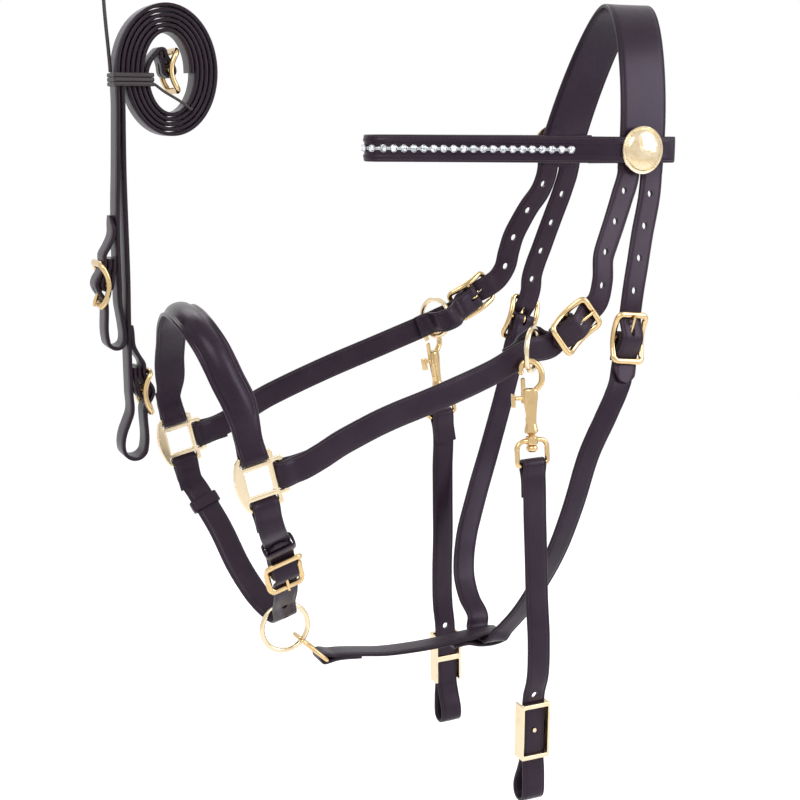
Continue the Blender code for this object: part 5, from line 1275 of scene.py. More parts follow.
class MetalSettings(bpy.types.PropertyGroup):
    """Colour and finish of the fittings."""

    colour: colour_setting("Brass", "Colour of the buckles and conchos", (0.68, 0.49, 0.25, 1.0))
    pale: colour_setting("Pale brass", "Colour of the squares and rings", (0.77, 0.64, 0.44, 1.0))
    rough: number_setting("Roughness", "Roughness of the polish", 0.13, 0.02, 1.0)


class StageSettings(bpy.types.PropertyGroup):
    """Light, floor and camera."""

    lens: number_setting("Focal length", "Camera focal length in millimetres", 63.1, 20.0, 200.0)
    key: number_setting("Key light", "Power of the key light in watts", 9.0, 0.0, 200.0)
    fill: number_setting("Fill light", "Power of the fill light in watts", 11.0, 0.0, 200.0)
    ambient: number_setting("Ambient", "Strength of the room's light", 0.52, 0.0, 3.0)
    floor: number_setting("Floor height", "Height of the floor", -0.66, -2.0, 0.0, unit="LENGTH")
    reach: number_setting("Floor radius", "Radius at which the floor has faded", 2.6, 0.5, 10.0,
                          unit="LENGTH")


# Pieces

FRAME_SWELL = 0.45 * MM            # how much stouter a buckle's frame is than its wire
NEEDLE = 0.2 * MM                  # radius at which a turned piece closes on its axis
BROW_FADE = 24 * MM                # run over which the browband reaches its full form
CHANNEL = 0.235 * BROW_WIDTH       # half width
CHANNEL_EDGE = 0.5 * MM
CHANNEL_DEPTH = 0.55 * MM
PIPING = 0.30 * BROW_WIDTH         # from the middle to each row
PIPING_WIDTH = 0.9 * MM
PIPING_HEIGHT = 0.42 * MM
NOSE_FADE = 30 * MM
ROLL = 0.335                       # half width of the roll, as a part of the strap's width
ROLL_FILL = 0.97
ROLL_ROUND = 0.62
ROLL_FACE = 0.9 * MM               # above this height a place is on the strap's face
STONE_LIFT = 0.35 * MM
CLAW_WIRE = 0.30 * MM              # radius
STONE = [(2.15, 0.55), (2.45, 0.95), (2.30, 1.25), (1.85, 1.75), (1.25, 2.05)]     # radius, height in mm
CUP = [(2.2, -0.1), (2.72, 0.15), (2.74, 1.02), (2.52, 1.12), (2.42, 0.9)]
CLAW = [(2.70, 0.2), (2.72, 0.9), (2.35, 1.45), (1.95, 1.72)]
CONCHO_RIM = [(0.93, 0), (0.985, 0.35), (1.0, 0.95), (0.985, 1.7), (0.945, 2.15), (0.905, 2.05),
              (0.885, 1.75), (0.865, 2.0)]          # part of the radius, height in mm
DOME_FOOT = 1.75 * MM
DOME = 0.87                        # its radius as a part of the concho's
DOME_ROUND = 1.15
SCREW_HEAD = [(5.5, 0), (5.5, 1.2), (4.2, 2.0)]     # radius, depth in mm
KNOT_SHAPE = [(0.2, -2.4), (1.6, -2.4), (2.9, -1.6), (3.2, -0.7), (2.7, -0.1), (3.2, 0.5), (3.0, 1.5),
              (1.8, 2.5), (0.2, 2.6)]
KEEPER_BAND = 9 * MM
KEEPER_LEATHER = 1.8 * MM
HITCH_LEATHER = 1.7 * MM
KNOB_REACH = (-9 * MM, -6 * MM)
BOSS = 4.6 * MM                    # radius
SPARE_HOLE = 2.6 * MM              # radius
BALL = [(0.2, 0), (2.9, 0.1), (4.0, 1.0), (4.4, 2.6), (4.0, 4.2), (2.6, 5.3), (0.2, 5.6)]
DEE_STOPS = (0.8, 0.3, -0.3, -0.8)


def cast(name, node, body, grain=0.42 * MM, rounds=9):
    """A copy of a CAD piece whose edges are worn round, as on a tumbled casting."""
    made = bmesh.new()
    made.from_mesh(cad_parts[node].data)
    bmesh.ops.remove_doubles(made, verts=made.verts, dist=2e-6)
    mesh = bpy.data.meshes.new(name)
    made.to_mesh(mesh)
    made.free()
    piece = keep(name, mesh, "pale", body, node)
    remesh = piece.modifiers.new("grain", "REMESH")
    remesh.mode = "VOXEL"
    remesh.voxel_size = grain
    remesh.use_smooth_shade = True
    wear = piece.modifiers.new("wear", "SMOOTH")
    wear.factor = 0.5
    wear.iterations = rounds


def joined(name, *meshes):
    """One smooth mesh of several."""
    made = bmesh.new()
    for mesh in meshes:
        made.from_mesh(mesh)
    whole = bpy.data.meshes.new(name)
    made.to_mesh(whole)
    made.free()
    whole.shade_smooth()
    whole.set_sharp_from_angle(angle=math.radians(40))
    return whole


def loop_band(name, place, low, high, band, ply, finish, body, *nodes):
    """A leather loop round a stack of straps."""
    room = SEAT + ply / 2
    rise = (high - low) / 2 + room
    corner = min(1.7 * MM, rise * 0.8)
    section = oblong(STRAP_WIDTH / 2 + room, rise, (corner, corner), 4, OBLONG_STOPS, ())
    line = [place.at(0, (low + high) / 2 + n, w) for w, n in section]
    skin = Skin().strap(line, place.along, band, ply, crease=False, closed=True, step=0.9 * MM)
    keep(name, skin, finish, body, *nodes)


def make_buckle(name, buckle, body):
    """A buckle's frame with its centre bar, and its tongue, which is a body of its own."""
    place = buckle.place
    skin = Skin().tube(buckle.frame_line(FRAME_SWELL), WIRE / 2 + FRAME_SWELL, 20, closed=True,
                       steer=place.out, flat=0.80)
    skin.tube([place.at(0, buckle.bar, w * buckle.rail) for w in (-1, -0.5, 0, 0.5, 1)], BAR / 2, 18,
              steer=place.along)
    keep(name + "_buckle_frame", skin, "brass", body, name + "_buckle")
    pin = Skin().tube(buckle.tongue_line(), TONGUE_WIRE / 2, 14, taper=0.72, steer=place.across,
                      step=0.6 * MM)
    keep(name + "_tongue_pin", pin, "brass", name + "_tongue", name + "_tongue")


def make_ring(name, centre, first, second, mean):
    """A ring that is a body of its own, round a centre in the plane of two directions."""
    line = [centre + first * (mean * math.cos(a)) + second * (mean * math.sin(a)) for a in turns(32)]
    skin = Skin().tube(line, RING_WIRE / 2, 20, closed=True, steer=first.cross(second))
    keep(name + "_wire", skin, "pale", name, name)


def strap_piece(name, line, widths, finish, body, nodes, cuts=(), **shape):
    """A strap with its holes and slots punched."""
    skin = Skin().strap(line, widths, **shape)
    return keep(name, pierce(skin, *cuts) if cuts else skin, finish, body, *nodes)


def holes_cutter(places):
    skin = Skin()
    for place in places:
        skin.oval(place, HOLE_LENGTH / 2, HOLE_WIDTH / 2, 4 * LEATHER)
    return skin


def concho_cutter(side):
    """A cutter for the hole that a concho's post goes through."""
    radius = CONCHO_POST / 2 + SEAT
    return Skin().oval(concho_axis(side).moved(0, (BROW_INNER + BROW_OUTER) / 2), radius, radius,
                       BROW_OUTER - BROW_INNER + 12 * MM, 24)


def billet_root(run, wide, high):
    """Thickens a billet towards its root in the crown."""
    thick = 1 + (0.96 * CROWN_LEATHER / LEATHER - 1) * np.clip(1 - (run - ROOT) / ROOT_FADE, 0, 1)
    return wide, high * thick[:, None]


def make_crown(look):
    """The wide crown, and the four billets that its slits leave, with their holes."""
    skin = Skin().strap(crown_line(), Vector((-1, 0, 0)), CROWN_WIDTH, CROWN_LEATHER, step=look.step,
                        across=11)
    keep("crown_strap_band", pierce(skin, *map(concho_cutter, SIDES)), "broad", "headstall", "crown_strap")
    for side in SIDES:
        for use in USES:
            line, widths, buckle = billet_line(side, use)
            holes = holes_cutter(billet_holes(line, widths, buckle, FIRST_HOLE[use]))
            cuts = [holes, buckle.billet_slot(6 * LEATHER)]
            strap_piece(f"{side}_{use}_billet", line, widths, "billet", "headstall", (), cuts,
                        step=look.step, tip=True, shape=billet_root)


def make_browband(look):
    """The browband, thin in its loops, with a sunk channel between two rows of piping."""
    loop, half = brow_loop(), brow_half()
    loop_run = length(loop + half[:1])
    face = 1.0 if stations(half, Vector((0, 0, -1)))[6][2].dot(outward("near")) > 0 else -1.0

    def shape(run, wide, high):
        into = np.minimum(run, run[-1] - run) - loop_run
        part = np.clip(into / BROW_FADE, 0, 1)[:, None]
        thick = BROW_LOOP_LEATHER + (BROW_LEATHER - BROW_LOOP_LEATHER) * part
        high = high * thick / BROW_LEATHER
        channel = np.clip((CHANNEL - np.abs(wide)) / CHANNEL_EDGE, 0, 1)
        piping = np.exp(-((np.abs(wide) - PIPING) / PIPING_WIDTH) ** 2)
        raised = face * part * (PIPING_HEIGHT * piping - CHANNEL_DEPTH * channel)
        return wide, high + np.where(high * face > 0.3 * thick, raised, 0.0)

    strap_piece("browband_band", both_halves(loop + half), Vector((0, 0, -1)), "brow", "headstall",
                ("browband",), [concho_cutter(side) for side in SIDES], step=look.step, width=BROW_WIDTH,
                thick=BROW_LEATHER, shape=shape, across=21)
    make_crystals(face)
    for side in SIDES:
        make_concho(side)


def make_crystals(face):
    """Cut stones in claw cups at an even pitch along the browband.

    Each is a profile turned round its own middle: middle + radius times direction + height
    times outward.
    """
    rise = BROW_LEATHER / 2 + STONE_LIFT - BROW_GROOVE
    band = both_halves(brow_half())
    line, turn, out, run = fine_line(band, [Vector((0, 0, -1))] * len(band), 0.5 * MM)
    out = out * face
    lead = run[np.argmax(line[:, 0] < CRYSTAL_START)]
    count = int(round((run[-1] - 2 * lead) / CRYSTAL_PITCH))
    spots = (run[-1] - count * CRYSTAL_PITCH) / 2 + CRYSTAL_PITCH * (np.arange(count) + 0.5)
    index = np.searchsorted(run, spots)
    stones, cups = Skin(8.0), Skin(50.0)
    stone, cup = np.array(STONE) * MM, np.array(CUP) * MM
    for c, x, y, z in zip(line[index], np.cross(turn[index], out[index]), turn[index], out[index]):
        for skin, profile, angles in ((stones, stone, turns(8, 0.5)), (cups, cup, turns(24))):
            places = c + ring(angles, x, y) * profile[:, :1, None] + z * (rise + profile[:, 1:, None])
            skin.grid(places, profile[:, 1], round_once(angles) * 2.4 * MM)
        for aside in ring(turns(4, 0.5), x, y):
            claw = [Vector(c + aside * r * MM + z * (rise + h * MM)) for r, h in CLAW]
            cups.tube(claw, CLAW_WIRE, 6, step=0.4 * MM)
    below = slice(index[0] - 4, index[-1] + 4, 6)
    strip = [Vector(place) for place in line[below] + out[below] * rise]
    cups.strap(strip, Vector((0, 0, -1)), 2.2 * MM, 0.5 * MM, crease=False, step=2 * MM)
    keep("crystal_stones", stones, "crystal", "headstall", "crystal_strip")
    keep("crystal_cups", cups, "cup", "headstall")


def make_concho(side):
    """A domed concho with a turned rim, the post behind it, and the slotted screw on the post."""
    axis = concho_axis(side)
    back = BROW_OUTER + BROW_LEATHER / 2 + SEAT
    inside = BROW_INNER - BROW_LOOP_LEATHER / 2
    rim = CONCHO / 2
    face = [(NEEDLE, back)] + [(rim * part, back + height * MM) for part, height in CONCHO_RIM]
    for part in np.linspace(0.85, 0.02, 16):
        height = math.sqrt(max(0.0, 1 - (part / DOME) ** 2)) ** DOME_ROUND
        face.append((rim * part, back + DOME_FOOT + (CONCHO_DOME - DOME_FOOT) * height))
    skin = Skin(32.0).lathe(axis, face, 72)
    skin.lathe(axis, [(NEEDLE / 2, back), (CONCHO_POST / 2, back), (CONCHO_POST / 2, inside),
                      (NEEDLE / 2, inside)], 24)
    keep(side + "_concho_dome", skin, "chased", "headstall", side + "_concho")
    top = inside - SEAT - 0.2 * MM
    foot = top - SCREW_HEAD[-1][1] * MM
    head = [(radius * MM, top - depth * MM) for radius, depth in SCREW_HEAD]
    screw = Skin().lathe(axis, rounded([(NEEDLE, top)] + head + [(NEEDLE, foot)], 0.5 * MM), 40)
    blade = Skin().brick(axis.moved(0, foot), (-6 * MM, 6 * MM), (-0.7 * MM, 0.7 * MM),
                         (-0.6 * MM, 0.6 * MM), 0.02 * MM, 12)
    keep(side + "_screw", pierce(screw, blade), "brass", "headstall", side + "_concho_screw")


def make_cheeks(look):
    """The cheek straps, the buckles of the four billets, and the rings of the hangers."""
    for side in SIDES:
        line, widths, buckle = cheek_line(side)
        strap_piece(side + "_cheek", line, widths, "stitched", "headstall", (side + "_cheek_strap",),
                    [buckle.chape_slot(4 * buckle.fold)], step=look.step)
        for use in USES:
            make_buckle(f"{side}_{use}", buckle_at(side, use), "headstall")
        make_ring(side + "_cheek_ring", cheek_ring_place(side).origin, *cheek_ring_axes(side), RING_MEAN)


def make_noseband(look):
    """The noseband, wider and with a padded roll in its middle, and the cast squares."""
    first, middle, last = nose_line()
    lead, trail = length(first), length(last)

    def shape(run, wide, high):
        into = np.minimum(run - lead, run[-1] - trail - run)
        part = np.clip(into / NOSE_FADE, 0, 1)
        part = (part * part * (3 - 2 * part))[:, None]
        wide = wide * (1 + (NOSE_WIDTH / STRAP_WIDTH - 1) * part)
        spot = np.clip(1 - (wide / (ROLL * (STRAP_WIDTH + (NOSE_WIDTH - STRAP_WIDTH) * part))) ** 2, 0, 1)
        roll = part * NOSE_ROLL * ROLL_FILL * spot ** ROLL_ROUND
        return wide, high + np.where(high > ROLL_FACE, roll, 0.0)

    padded = strap_piece("nose_roll", first + middle + last, square_place("near").along, "nose", "headstall",
                         ("noseband",), step=look.step, shape=shape, across=23)
    for side in SIDES:
        cast(side + "_halter_square", side + "_square", "headstall")


def make_chin(look):
    """The near tab, its buckle, the chin strap through it, their keepers, and the ring."""
    line, widths, buckle = chin_tab_line()
    strap_piece("chin_tab", line, widths, "plain", "headstall", ("near_chin_tab",),
                [buckle.chape_slot(4 * buckle.fold)], step=look.step)
    line, widths, buckle, spot = chin_line()
    found = stations(line, widths)
    holes = [Place(point, width.cross(out), out) for point, width, out, _ in (found[spot], found[spot - 2])]
    strap_piece("chin", line, widths, "plain", "headstall", ("chin_strap",),
                [holes_cutter(holes), buckle.billet_slot(6 * LEATHER)], step=look.step, tip=True)
    make_buckle("chin", buckle, "headstall")
    for side, run, across, low, high in (
            ("near", *chin_tab_run(), -LEATHER / 2 - 0.6 * MM, STACK + LEATHER / 2 + 0.5 * MM),
            ("off", chin_run(), square_place("off").along, -LEATHER / 2 - 0.7 * MM, LEATHER / 2 + 0.7 * MM)):
        point, width, out, _ = stations(run, across)[2]
        out = out if out.dot(outward(side)) > 0 else -out
        loop_band(side + "_chin_loop", Place(point, width.cross(out), out), low, high, KEEPER_BAND,
                  KEEPER_LEATHER, "plain", "headstall", side + "_chin_keeper")
    make_ring("chin_ring", at(*CHIN_RING_SEAT), Vector((1, 0, 0)), Vector((0, 0, 1)), CHIN_RING_MEAN)


def make_throat(look):
    """The link at the chin ring, the jaw strap, and the throatlatch through the strap's loop."""
    link = Skin().tube(jaw_dee_line(), DEE_WIRE / 2, 18, closed=True, steer=jaw_dee_place().out)
    keep("jaw_link", link, "brass", "jaw_dee", "jaw_dee")
    strap_piece("jaw", jaw_line(), Vector((0, -1, 0)), "plain", "headstall", ("jaw_strap",), step=look.step)
    line, widths = throat_line()
    strap_piece("throat", line, widths, "plain", "headstall", ("throatlatch",),
                [buckle_at(side, "throat").chape_slot(26 * MM) for side in SIDES], step=look.step)


def snap_casting(side):
    """The barrel with its channel, and the hook, post and ball.

    The barrel is an oval section along the snap: middle + half width times cosine across +
    half depth times sine outward, with its sizes evenly between the rows of BARREL.
    """
    place = snap_place(side)
    origin, along, out, across = place.arrays()
    sizes = np.array(BARREL)
    rows = np.concatenate([np.linspace(a, b, 6, endpoint=False) for a, b in zip(sizes[:-1, 0], sizes[1:, 0])]
                          + [sizes[-1:, 0]])
    width, depth = (np.interp(-rows, -sizes[:, 0], sizes[:, k]) * MM / 2 for k in (1, 2))
    angles = turns(32)
    places = (origin + along * rows[:, None, None] + out * (depth[:, None] * np.sin(angles))[:, :, None]
              + across * (width[:, None] * np.cos(angles))[:, :, None])
    barrel = Skin().grid(places, -rows, round_once(angles) * 5 * MM)
    channel = Skin().brick(place, (-14 * MM, BARREL_TOP + 1 * MM), (-BOLT / 2 - SEAT, BOLT / 2 + SEAT),
                           (BOLT_ACROSS - 6 * MM, BOLT_ACROSS + BOLT / 2 + SEAT), 0.05 * MM, 24)
    eye = curve([place.at(b * MM, 0, a * MM) for a, b in EYE], 4.4 * MM)
    rest = Skin().tube(eye, SNAP_WIRE / 2, 20, taper=0.85, steer=place.out)
    axis = Place(place.origin, place.across, place.along)
    low = SWIVEL_BOSS[1] - 1.5 * MM
    post = [(NEEDLE, BARREL_FOOT + 1 * MM), (SWIVEL_POST / 2 + 1.6 * MM, BARREL_FOOT),
            (SWIVEL_POST / 2, BARREL_FOOT - 1.6 * MM), (SWIVEL_POST / 2, low), (NEEDLE, low)]
    ball = [(radius * MM, SWIVEL_BOSS[1] - SEAT - depth * MM) for radius, depth in BALL]
    rest.lathe(axis, rounded(post, 0.6 * MM), 28).lathe(axis, rounded(ball, 1.2 * MM), 28)
    return joined("snap", pierce(barrel, channel), rest.mesh("rest"))


def snap_bolt(side):
    """The bolt that closes the hook, with its thumb knob."""
    place = snap_place(side)
    tip = EYE[-1][1] * MM - SNAP_WIRE * 0.4 - SEAT
    pin, stem = ([place.at(*spot) for spot in spots] for spots in (
        ((BOLT_FOOT - 4 * MM, 0, BOLT_ACROSS), (tip, 0, BOLT_ACROSS)),
        ((BOLT_FOOT, 0, BOLT_ACROSS), (BOLT_FOOT, 0, BOLT_ACROSS - 6.5 * MM))))
    bolt = Skin().tube(pin, BOLT / 2, 18).tube(stem, 1.5 * MM, 16)
    return bolt.brick(place, (BOLT_FOOT - 6.5 * MM, BOLT_FOOT + 3.5 * MM), (-2.2 * MM, 2.2 * MM),
                      (BOLT_ACROSS + KNOB_REACH[0], BOLT_ACROSS + KNOB_REACH[1]), 0.7 * MM)


def swivel_dee(side):
    """The dee below the snap, and the boss by which it turns on the snap's post."""
    place = snap_place(side)
    high, low = SWIVEL_BOSS
    top = (high + low) / 2
    middle = Place(place.at((top - SNAP_REACH) / 2, 0), place.along, outward(side))
    outline = oblong((top + SNAP_REACH) / 2, (DEE_OUTER - WIRE) / 2, SWIVEL_CORNERS, 5, DEE_STOPS, DEE_STOPS)
    skin = Skin().tube([middle.at(s, 0, w) for s, w in outline], WIRE / 2, 18, closed=True, steer=middle.out)
    boss = [(NEEDLE, high), (BOSS, high), (BOSS, low), (NEEDLE, low)]
    return skin.lathe(Place(place.origin, place.across, place.along), rounded(boss, 0.8 * MM), 32)


def make_hangers(look):
    """On each side the snap with its bolt and swivel, the strap, and its cast Conway buckle."""
    for side in SIDES:
        keep(side + "_snap_casting", snap_casting(side), "brass", side + "_snap", side + "_snap_hook")
        keep(side + "_bolt", snap_bolt(side), "brass", side + "_snap_bolt", side + "_snap_bolt")
        keep(side + "_swivel_ring", swivel_dee(side), "brass", side + "_swivel", side + "_swivel_dee")
        line, widths, seat, (front, back) = hanger_line(side)
        radius = CONWAY_STUD / 2 + SEAT
        stud = Skin().oval(seat.moved(0, (front + back) / 2), radius, radius, front - back + 8 * MM, 24)
        spare = Skin().oval(seat.moved(HOLE_PITCH + 3 * MM, front), SPARE_HOLE, SPARE_HOLE, 6 * LEATHER, 24)
        strap_piece(side + "_hanger", line, widths, "plain", side + "_hanger", (side + "_hanger_strap",),
                    [stud, spare], step=look.step)
        cast(side + "_conway_buckle", side + "_conway", side + "_hanger", 0.36 * MM, 12)


def make_reins(look):
    """The coiled reins with the loops for the bit, and the hitch and the lace that hold them."""
    centre = centre_buckle()
    for which in "ab":
        name = "rein_" + which
        line, buckle = rein_line(which)
        cuts = [buckle.billet_slot(4 * LEATHER)]
        if which == "a":
            cuts.append(centre.chape_slot(4 * buckle.fold))
        strap_piece(name + "_strap", line, Vector((0, 1, 0)), "plain", "reins", (name,), cuts,
                    step=look.step, tip=True)
        strap_piece(name + "_fold", buckle.chape(REIN_CHAPE, REIN_CHAPE), buckle.place.across, "plain",
                    "reins", (name + "_chape",), [buckle.chape_slot(4 * buckle.fold)], step=look.step)
        make_buckle(name, buckle, "reins")
    make_buckle("rein_centre", centre, "reins")
    inner = COIL_WIDE - 2 * COIL_LAYER * COIL_TURNS["a"] - LEATHER / 2
    seat = Place(at(*COIL_CENTRE) - Vector((0, 0, TIE_DROP)), (0, 0, 1), (-1, 0, 0))
    turn = TIE_BAND / TIE_TURNS
    for number in range(TIE_TURNS):
        loop_band(f"hitch_turn_{number + 1}", seat.moved((number - 1) * turn, 0), inner - 1.3 * MM,
                  COIL_WIDE + LEATHER / 2, turn * 0.94, HITCH_LEATHER, "cord", "reins",
                  *(("rein_tie",) if number == 1 else ()))
    make_laces()


def lace_curve(name, route, thickness, *nodes):
    """A lace as a round curve along its route."""
    data = bpy.data.curves.new(name, "CURVE")
    data.dimensions = "3D"
    data.bevel_depth = thickness / 2
    data.bevel_resolution = 4
    data.use_fill_caps = True
    spline = data.splines.new("POLY")
    spline.points.add(len(route) - 1)
    for point, place in zip(spline.points, route):
        point.co = (*place, 1.0)
    return dress(linked(name, data), "cord", "reins", *nodes)


def make_laces():
    """The lace that the coil hangs by, with its knot, and its loose end below the hitch."""
    up = Vector((0, 0, 1))
    hitch = at(*COIL_CENTRE) + Vector((-COIL_WIDE - LEATHER / 2 - SEAT - 1.5 * MM, 0,
                                       -TIE_DROP + TIE_BAND / 2 + SEAT))
    low = KNOT_SHAPE[0][1] * MM
    route = curve([hitch] + way("lace") + [at(*KNOT) + up * (low - SEAT)], 2 * MM, start=up, end=up)
    lace = lace_curve("lace", route, THONG, "thong")
    knot = rounded([(radius * MM, height * MM) for radius, height in KNOT_SHAPE], 0.7 * MM)
    knot = Skin().lathe(Place(at(*KNOT), (1, 0, 0), up), knot, 28)
    ball = keep("lace_knot", knot, "cord", "reins", "thong_knot")
    end = curve(way("lace end"), 1.5 * MM, start=Vector((0.8, -0.4, -0.4)))
    tail = lace_curve("lace_end", end, THONG_END)


# Stage

AIM = (-0.22, 0.0, -0.3)
FLOOR_MIDDLE = (-0.22, 0.0)
PAPER = 0.93
RIM_PART = 0.5                     # the rim lamp's power as a part of the key lamp's
FILL_COLOUR = (0.90, 0.92, 1.0)
CAMERA_PLACE = (-0.64215, -0.95914, -0.08416)
CAMERA_RIGHT = (0.90631, -0.42262, 0.0)
CAMERA_UP = (0.08299, 0.17798, 0.98053)
CAMERA_BACK = (-0.41439, -0.88866, 0.19637)


def aimed(name, place, energy, size):
    """A soft rectangular lamp at a place, turned to the bridle."""
    data = bpy.data.lights.new(name, "AREA")
    data.energy = energy
    data.shape = "RECTANGLE"
    data.size, data.size_y = size
    made = linked(name, data)
    place = Vector(place)
    turn = (place - Vector(AIM)).to_track_quat("Z", "Y").to_matrix().to_4x4()
    made.matrix_world = Matrix.Translation(place) @ turn
    return made


def backdrop_rays(tree):
    """One for the rays that see the white backdrop: straight, mirrored and refracted ones."""
    camera, glossy, through = (tree.node("ShaderNodeLightPath", {}, {}, f"Is {kind} Ray")
                               for kind in ("Camera", "Glossy", "Transmission"))
    return camera.maths("ADD", camera + glossy, through, clamp=True)


def room_light(ambient):
    """A white backdrop, and a soft gradient, brighter above, that lights the bridle."""
    world = bpy.data.worlds.new("room")
    bpy.context.scene.world = world
    world.use_nodes = True
    tree = Tree(world.node_tree)
    aside, _, up = tree.parts(tree.where("Generated"))
    wall = up.smooth(-0.45, 0.70, 0.16, 1.35) * aside.smooth(-0.9, 0.9, 1.12, 0.80)
    strength = backdrop_rays(tree) * (1.0 - wall * ambient) + wall * ambient
    light = tree.node("ShaderNodeBackground", {}, {"Color": (1.0, 1.0, 1.0, 1.0), "Strength": strength})
    tree.node("ShaderNodeOutputWorld", {}, {"Surface": light})


def make_floor(look):
    """A thin round sheet: rings of places out along its top and back along its underside."""
    angles = turns(96)
    middle = np.array([*FLOOR_MIDDLE, look.floor])
    spokes = ring(angles, np.array([1.0, 0.0, 0.0]), np.array([0.0, 1.0, 0.0]))
    radii = np.array([0.02, 0.25, 0.5, 0.75, 1.0])[:, None, None] * look.reach
    under = middle - np.array([0.0, 0.0, 0.01])
    places = np.concatenate([middle + spokes * radii, under + spokes * radii[::-1]])
    floor = linked("floor", Skin().grid(places, np.arange(10) * 0.1, round_once(angles)).mesh("floor"))
    floor.data.materials.append(surface("paper", "stage", floor_look, tuple(middle), look.reach, PAPER))
    return floor


def make_camera(lens):
    """The camera, where it stood for the photo."""
    data = bpy.data.cameras.new("photo")
    data.lens = lens
    data.sensor_width = 36.0
    data.clip_start = 0.01
    camera = linked("photo", data)
    camera.matrix_world = (Matrix.Translation(CAMERA_PLACE)
                           @ Matrix((CAMERA_RIGHT, CAMERA_UP, CAMERA_BACK)).transposed().to_4x4())
    bpy.context.scene.camera = camera


def make_stage(look):
    """The backdrop, the floor, three lamps and the camera."""
    room_light(look.ambient)
    floor = make_floor(look)
    lamps = [aimed("key", (-0.95, -1.05, 0.75), look.key, (0.9, 0.7)),
             aimed("fill", (0.85, -0.95, 0.35), look.fill, (0.8, 1.0)),
             aimed("rim", (-0.2, 1.1, 0.8), look.key * RIM_PART, (1.0, 0.5))]
    lamps[1].data.color = FILL_COLOUR
    make_camera(look.lens)
    bpy.context.scene.view_settings.view_transform = "Standard"


# Operators and panel

finishes = {}


def scaled(colour, *parts):
    return (*(value * part for value, part in zip(colour, parts)), 1.0)


def mix_finishes():
    """The finishes, made once from the settings."""
    if finishes:
        return
    hide, metal = bpy.context.scene.bridle_leather, bpy.context.scene.bridle_metal
    colour, worn, gloss = tuple(hide.colour), tuple(hide.worn), hide.gloss
    brown = scaled(colour, 1.35, 1.30, 1.15)
    gold, pale = tuple(metal.colour), tuple(metal.pale)
    dull = scaled(gold, 0.72, 0.66, 0.60)
    for key, name, slot, look, *values in (
            ("plain", "hide", "leather", leather_look, colour, worn, gloss, False, STRAP_WIDTH),
            ("billet", "billet_hide", "leather", leather_look, brown, worn, gloss + 0.02, False, STRAP_WIDTH),
            ("stitched", "sewn_hide", "leather", leather_look, colour, worn, gloss, True, STRAP_WIDTH),
            ("broad", "crown_hide", "leather", leather_look, colour, worn, gloss - 0.04, False, CROWN_WIDTH),
            ("brow", "brow_hide", "leather", leather_look, colour, worn, gloss, True, BROW_WIDTH),
            ("nose", "nose_hide", "leather", leather_look, colour, worn, gloss - 0.03, True, NOSE_WIDTH),
            ("brass", "brass", "brass", brass_look, gold, dull, metal.rough),
            ("chased", "chased_brass", "brass", chased_look, pale, gold, metal.rough + 0.05),
            ("pale", "pale_brass", "brass", brass_look, pale, gold, metal.rough + 0.04),
            ("crystal", "crystal", "crystal", crystal_look),
            ("cup", "cup_metal", "crystal", cup_look),
            ("cord", "waxed_cord", "cord", cord_look)):
        finishes[key] = surface(name, slot, look, *values)


class MakePiece:
    """What the operators share: each names the function that it runs on a group of settings."""

    bl_options = {"REGISTER", "UNDO"}
    group = "bridle_leather"

    def execute(self, context):
        mix_finishes()
        self.make(getattr(context.scene, self.group))
        return {"FINISHED"}


class BRIDLE_OT_crown(MakePiece, bpy.types.Operator):
    """Make the crown strap and its four punched billets"""

    bl_idname = "bridle.crown"
    bl_label = "Crown"
    make = staticmethod(make_crown)


class BRIDLE_OT_browband(MakePiece, bpy.types.Operator):
    """Make the browband, its row of crystals and the conchos"""

    bl_idname = "bridle.browband"
    bl_label = "Browband"
    make = staticmethod(make_browband)


class BRIDLE_OT_cheeks(MakePiece, bpy.types.Operator):
    """Make the cheek straps, their rings, and the headstall's buckles"""

    bl_idname = "bridle.cheeks"
    bl_label = "Cheeks"
    make = staticmethod(make_cheeks)


class BRIDLE_OT_noseband(MakePiece, bpy.types.Operator):
    """Make the padded noseband and the halter squares"""

    bl_idname = "bridle.noseband"
    bl_label = "Noseband"
    make = staticmethod(make_noseband)


class BRIDLE_OT_chin(MakePiece, bpy.types.Operator):
    """Make the chin strap, its buckle, loops and ring"""

    bl_idname = "bridle.chin"
    bl_label = "Chin"
    make = staticmethod(make_chin)


class BRIDLE_OT_throat(MakePiece, bpy.types.Operator):
    """Make the jaw link, jaw strap and throatlatch"""

    bl_idname = "bridle.throat"
    bl_label = "Throat"
    make = staticmethod(make_throat)


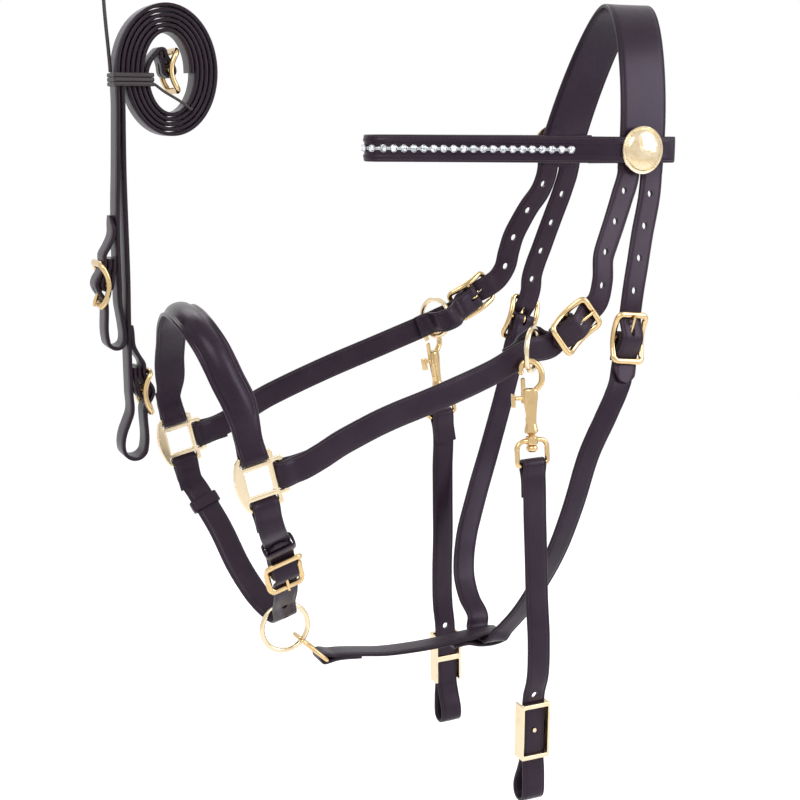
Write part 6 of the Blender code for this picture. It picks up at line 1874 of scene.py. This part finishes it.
class BRIDLE_OT_hangers(MakePiece, bpy.types.Operator):
    """Make the bit hangers with their snaps, swivels and Conway buckles"""

    bl_idname = "bridle.hangers"
    bl_label = "Bit hangers"
    make = staticmethod(make_hangers)


class BRIDLE_OT_reins(MakePiece, bpy.types.Operator):
    """Make the coiled reins, their buckles, the hitch and its lace"""

    bl_idname = "bridle.reins"
    bl_label = "Reins"
    make = staticmethod(make_reins)


class BRIDLE_OT_stage(MakePiece, bpy.types.Operator):
    """Make the floor, the light and the camera"""

    bl_idname = "bridle.stage"
    bl_label = "Stage"
    group = "bridle_stage"
    make = staticmethod(make_stage)


OPERATORS = (BRIDLE_OT_crown, BRIDLE_OT_browband, BRIDLE_OT_cheeks, BRIDLE_OT_noseband, BRIDLE_OT_chin,
             BRIDLE_OT_throat, BRIDLE_OT_hangers, BRIDLE_OT_reins, BRIDLE_OT_stage)
SETTINGS = (("bridle_leather", LeatherSettings), ("bridle_metal", MetalSettings),
            ("bridle_stage", StageSettings))


class BRIDLE_PT_panel(bpy.types.Panel):
    """Lists the pieces and their settings in the sidebar"""

    bl_label = "Halter bridle"
    bl_idname = "BRIDLE_PT_panel"
    bl_space_type = "VIEW_3D"
    bl_region_type = "UI"
    bl_category = "Bridle"

    def draw(self, context):
        for group, _ in SETTINGS:
            settings = getattr(context.scene, group)
            column = self.layout.column(align=True)
            for name in settings.__annotations__:
                column.prop(settings, name)
        column = self.layout.column(align=True)
        for operator in OPERATORS:
            column.operator(operator.bl_idname)


def register():
    for name, group in SETTINGS:
        bpy.utils.register_class(group)
        setattr(bpy.types.Scene, name, bpy.props.PointerProperty(type=group))
    for made in OPERATORS + (BRIDLE_PT_panel,):
        bpy.utils.register_class(made)


def unregister():
    for made in (BRIDLE_PT_panel,) + OPERATORS[::-1]:
        bpy.utils.unregister_class(made)
    for name, group in SETTINGS[::-1]:
        delattr(bpy.types.Scene, name)
        bpy.utils.unregister_class(group)


def main():
    """Makes every piece through its operator."""
    register()
    for operator in OPERATORS:
        group, action = operator.bl_idname.split(".")
        getattr(getattr(bpy.ops, group), action)()
    bpy.context.view_layer.update()
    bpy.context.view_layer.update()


if __name__ == "__main__":
    main()
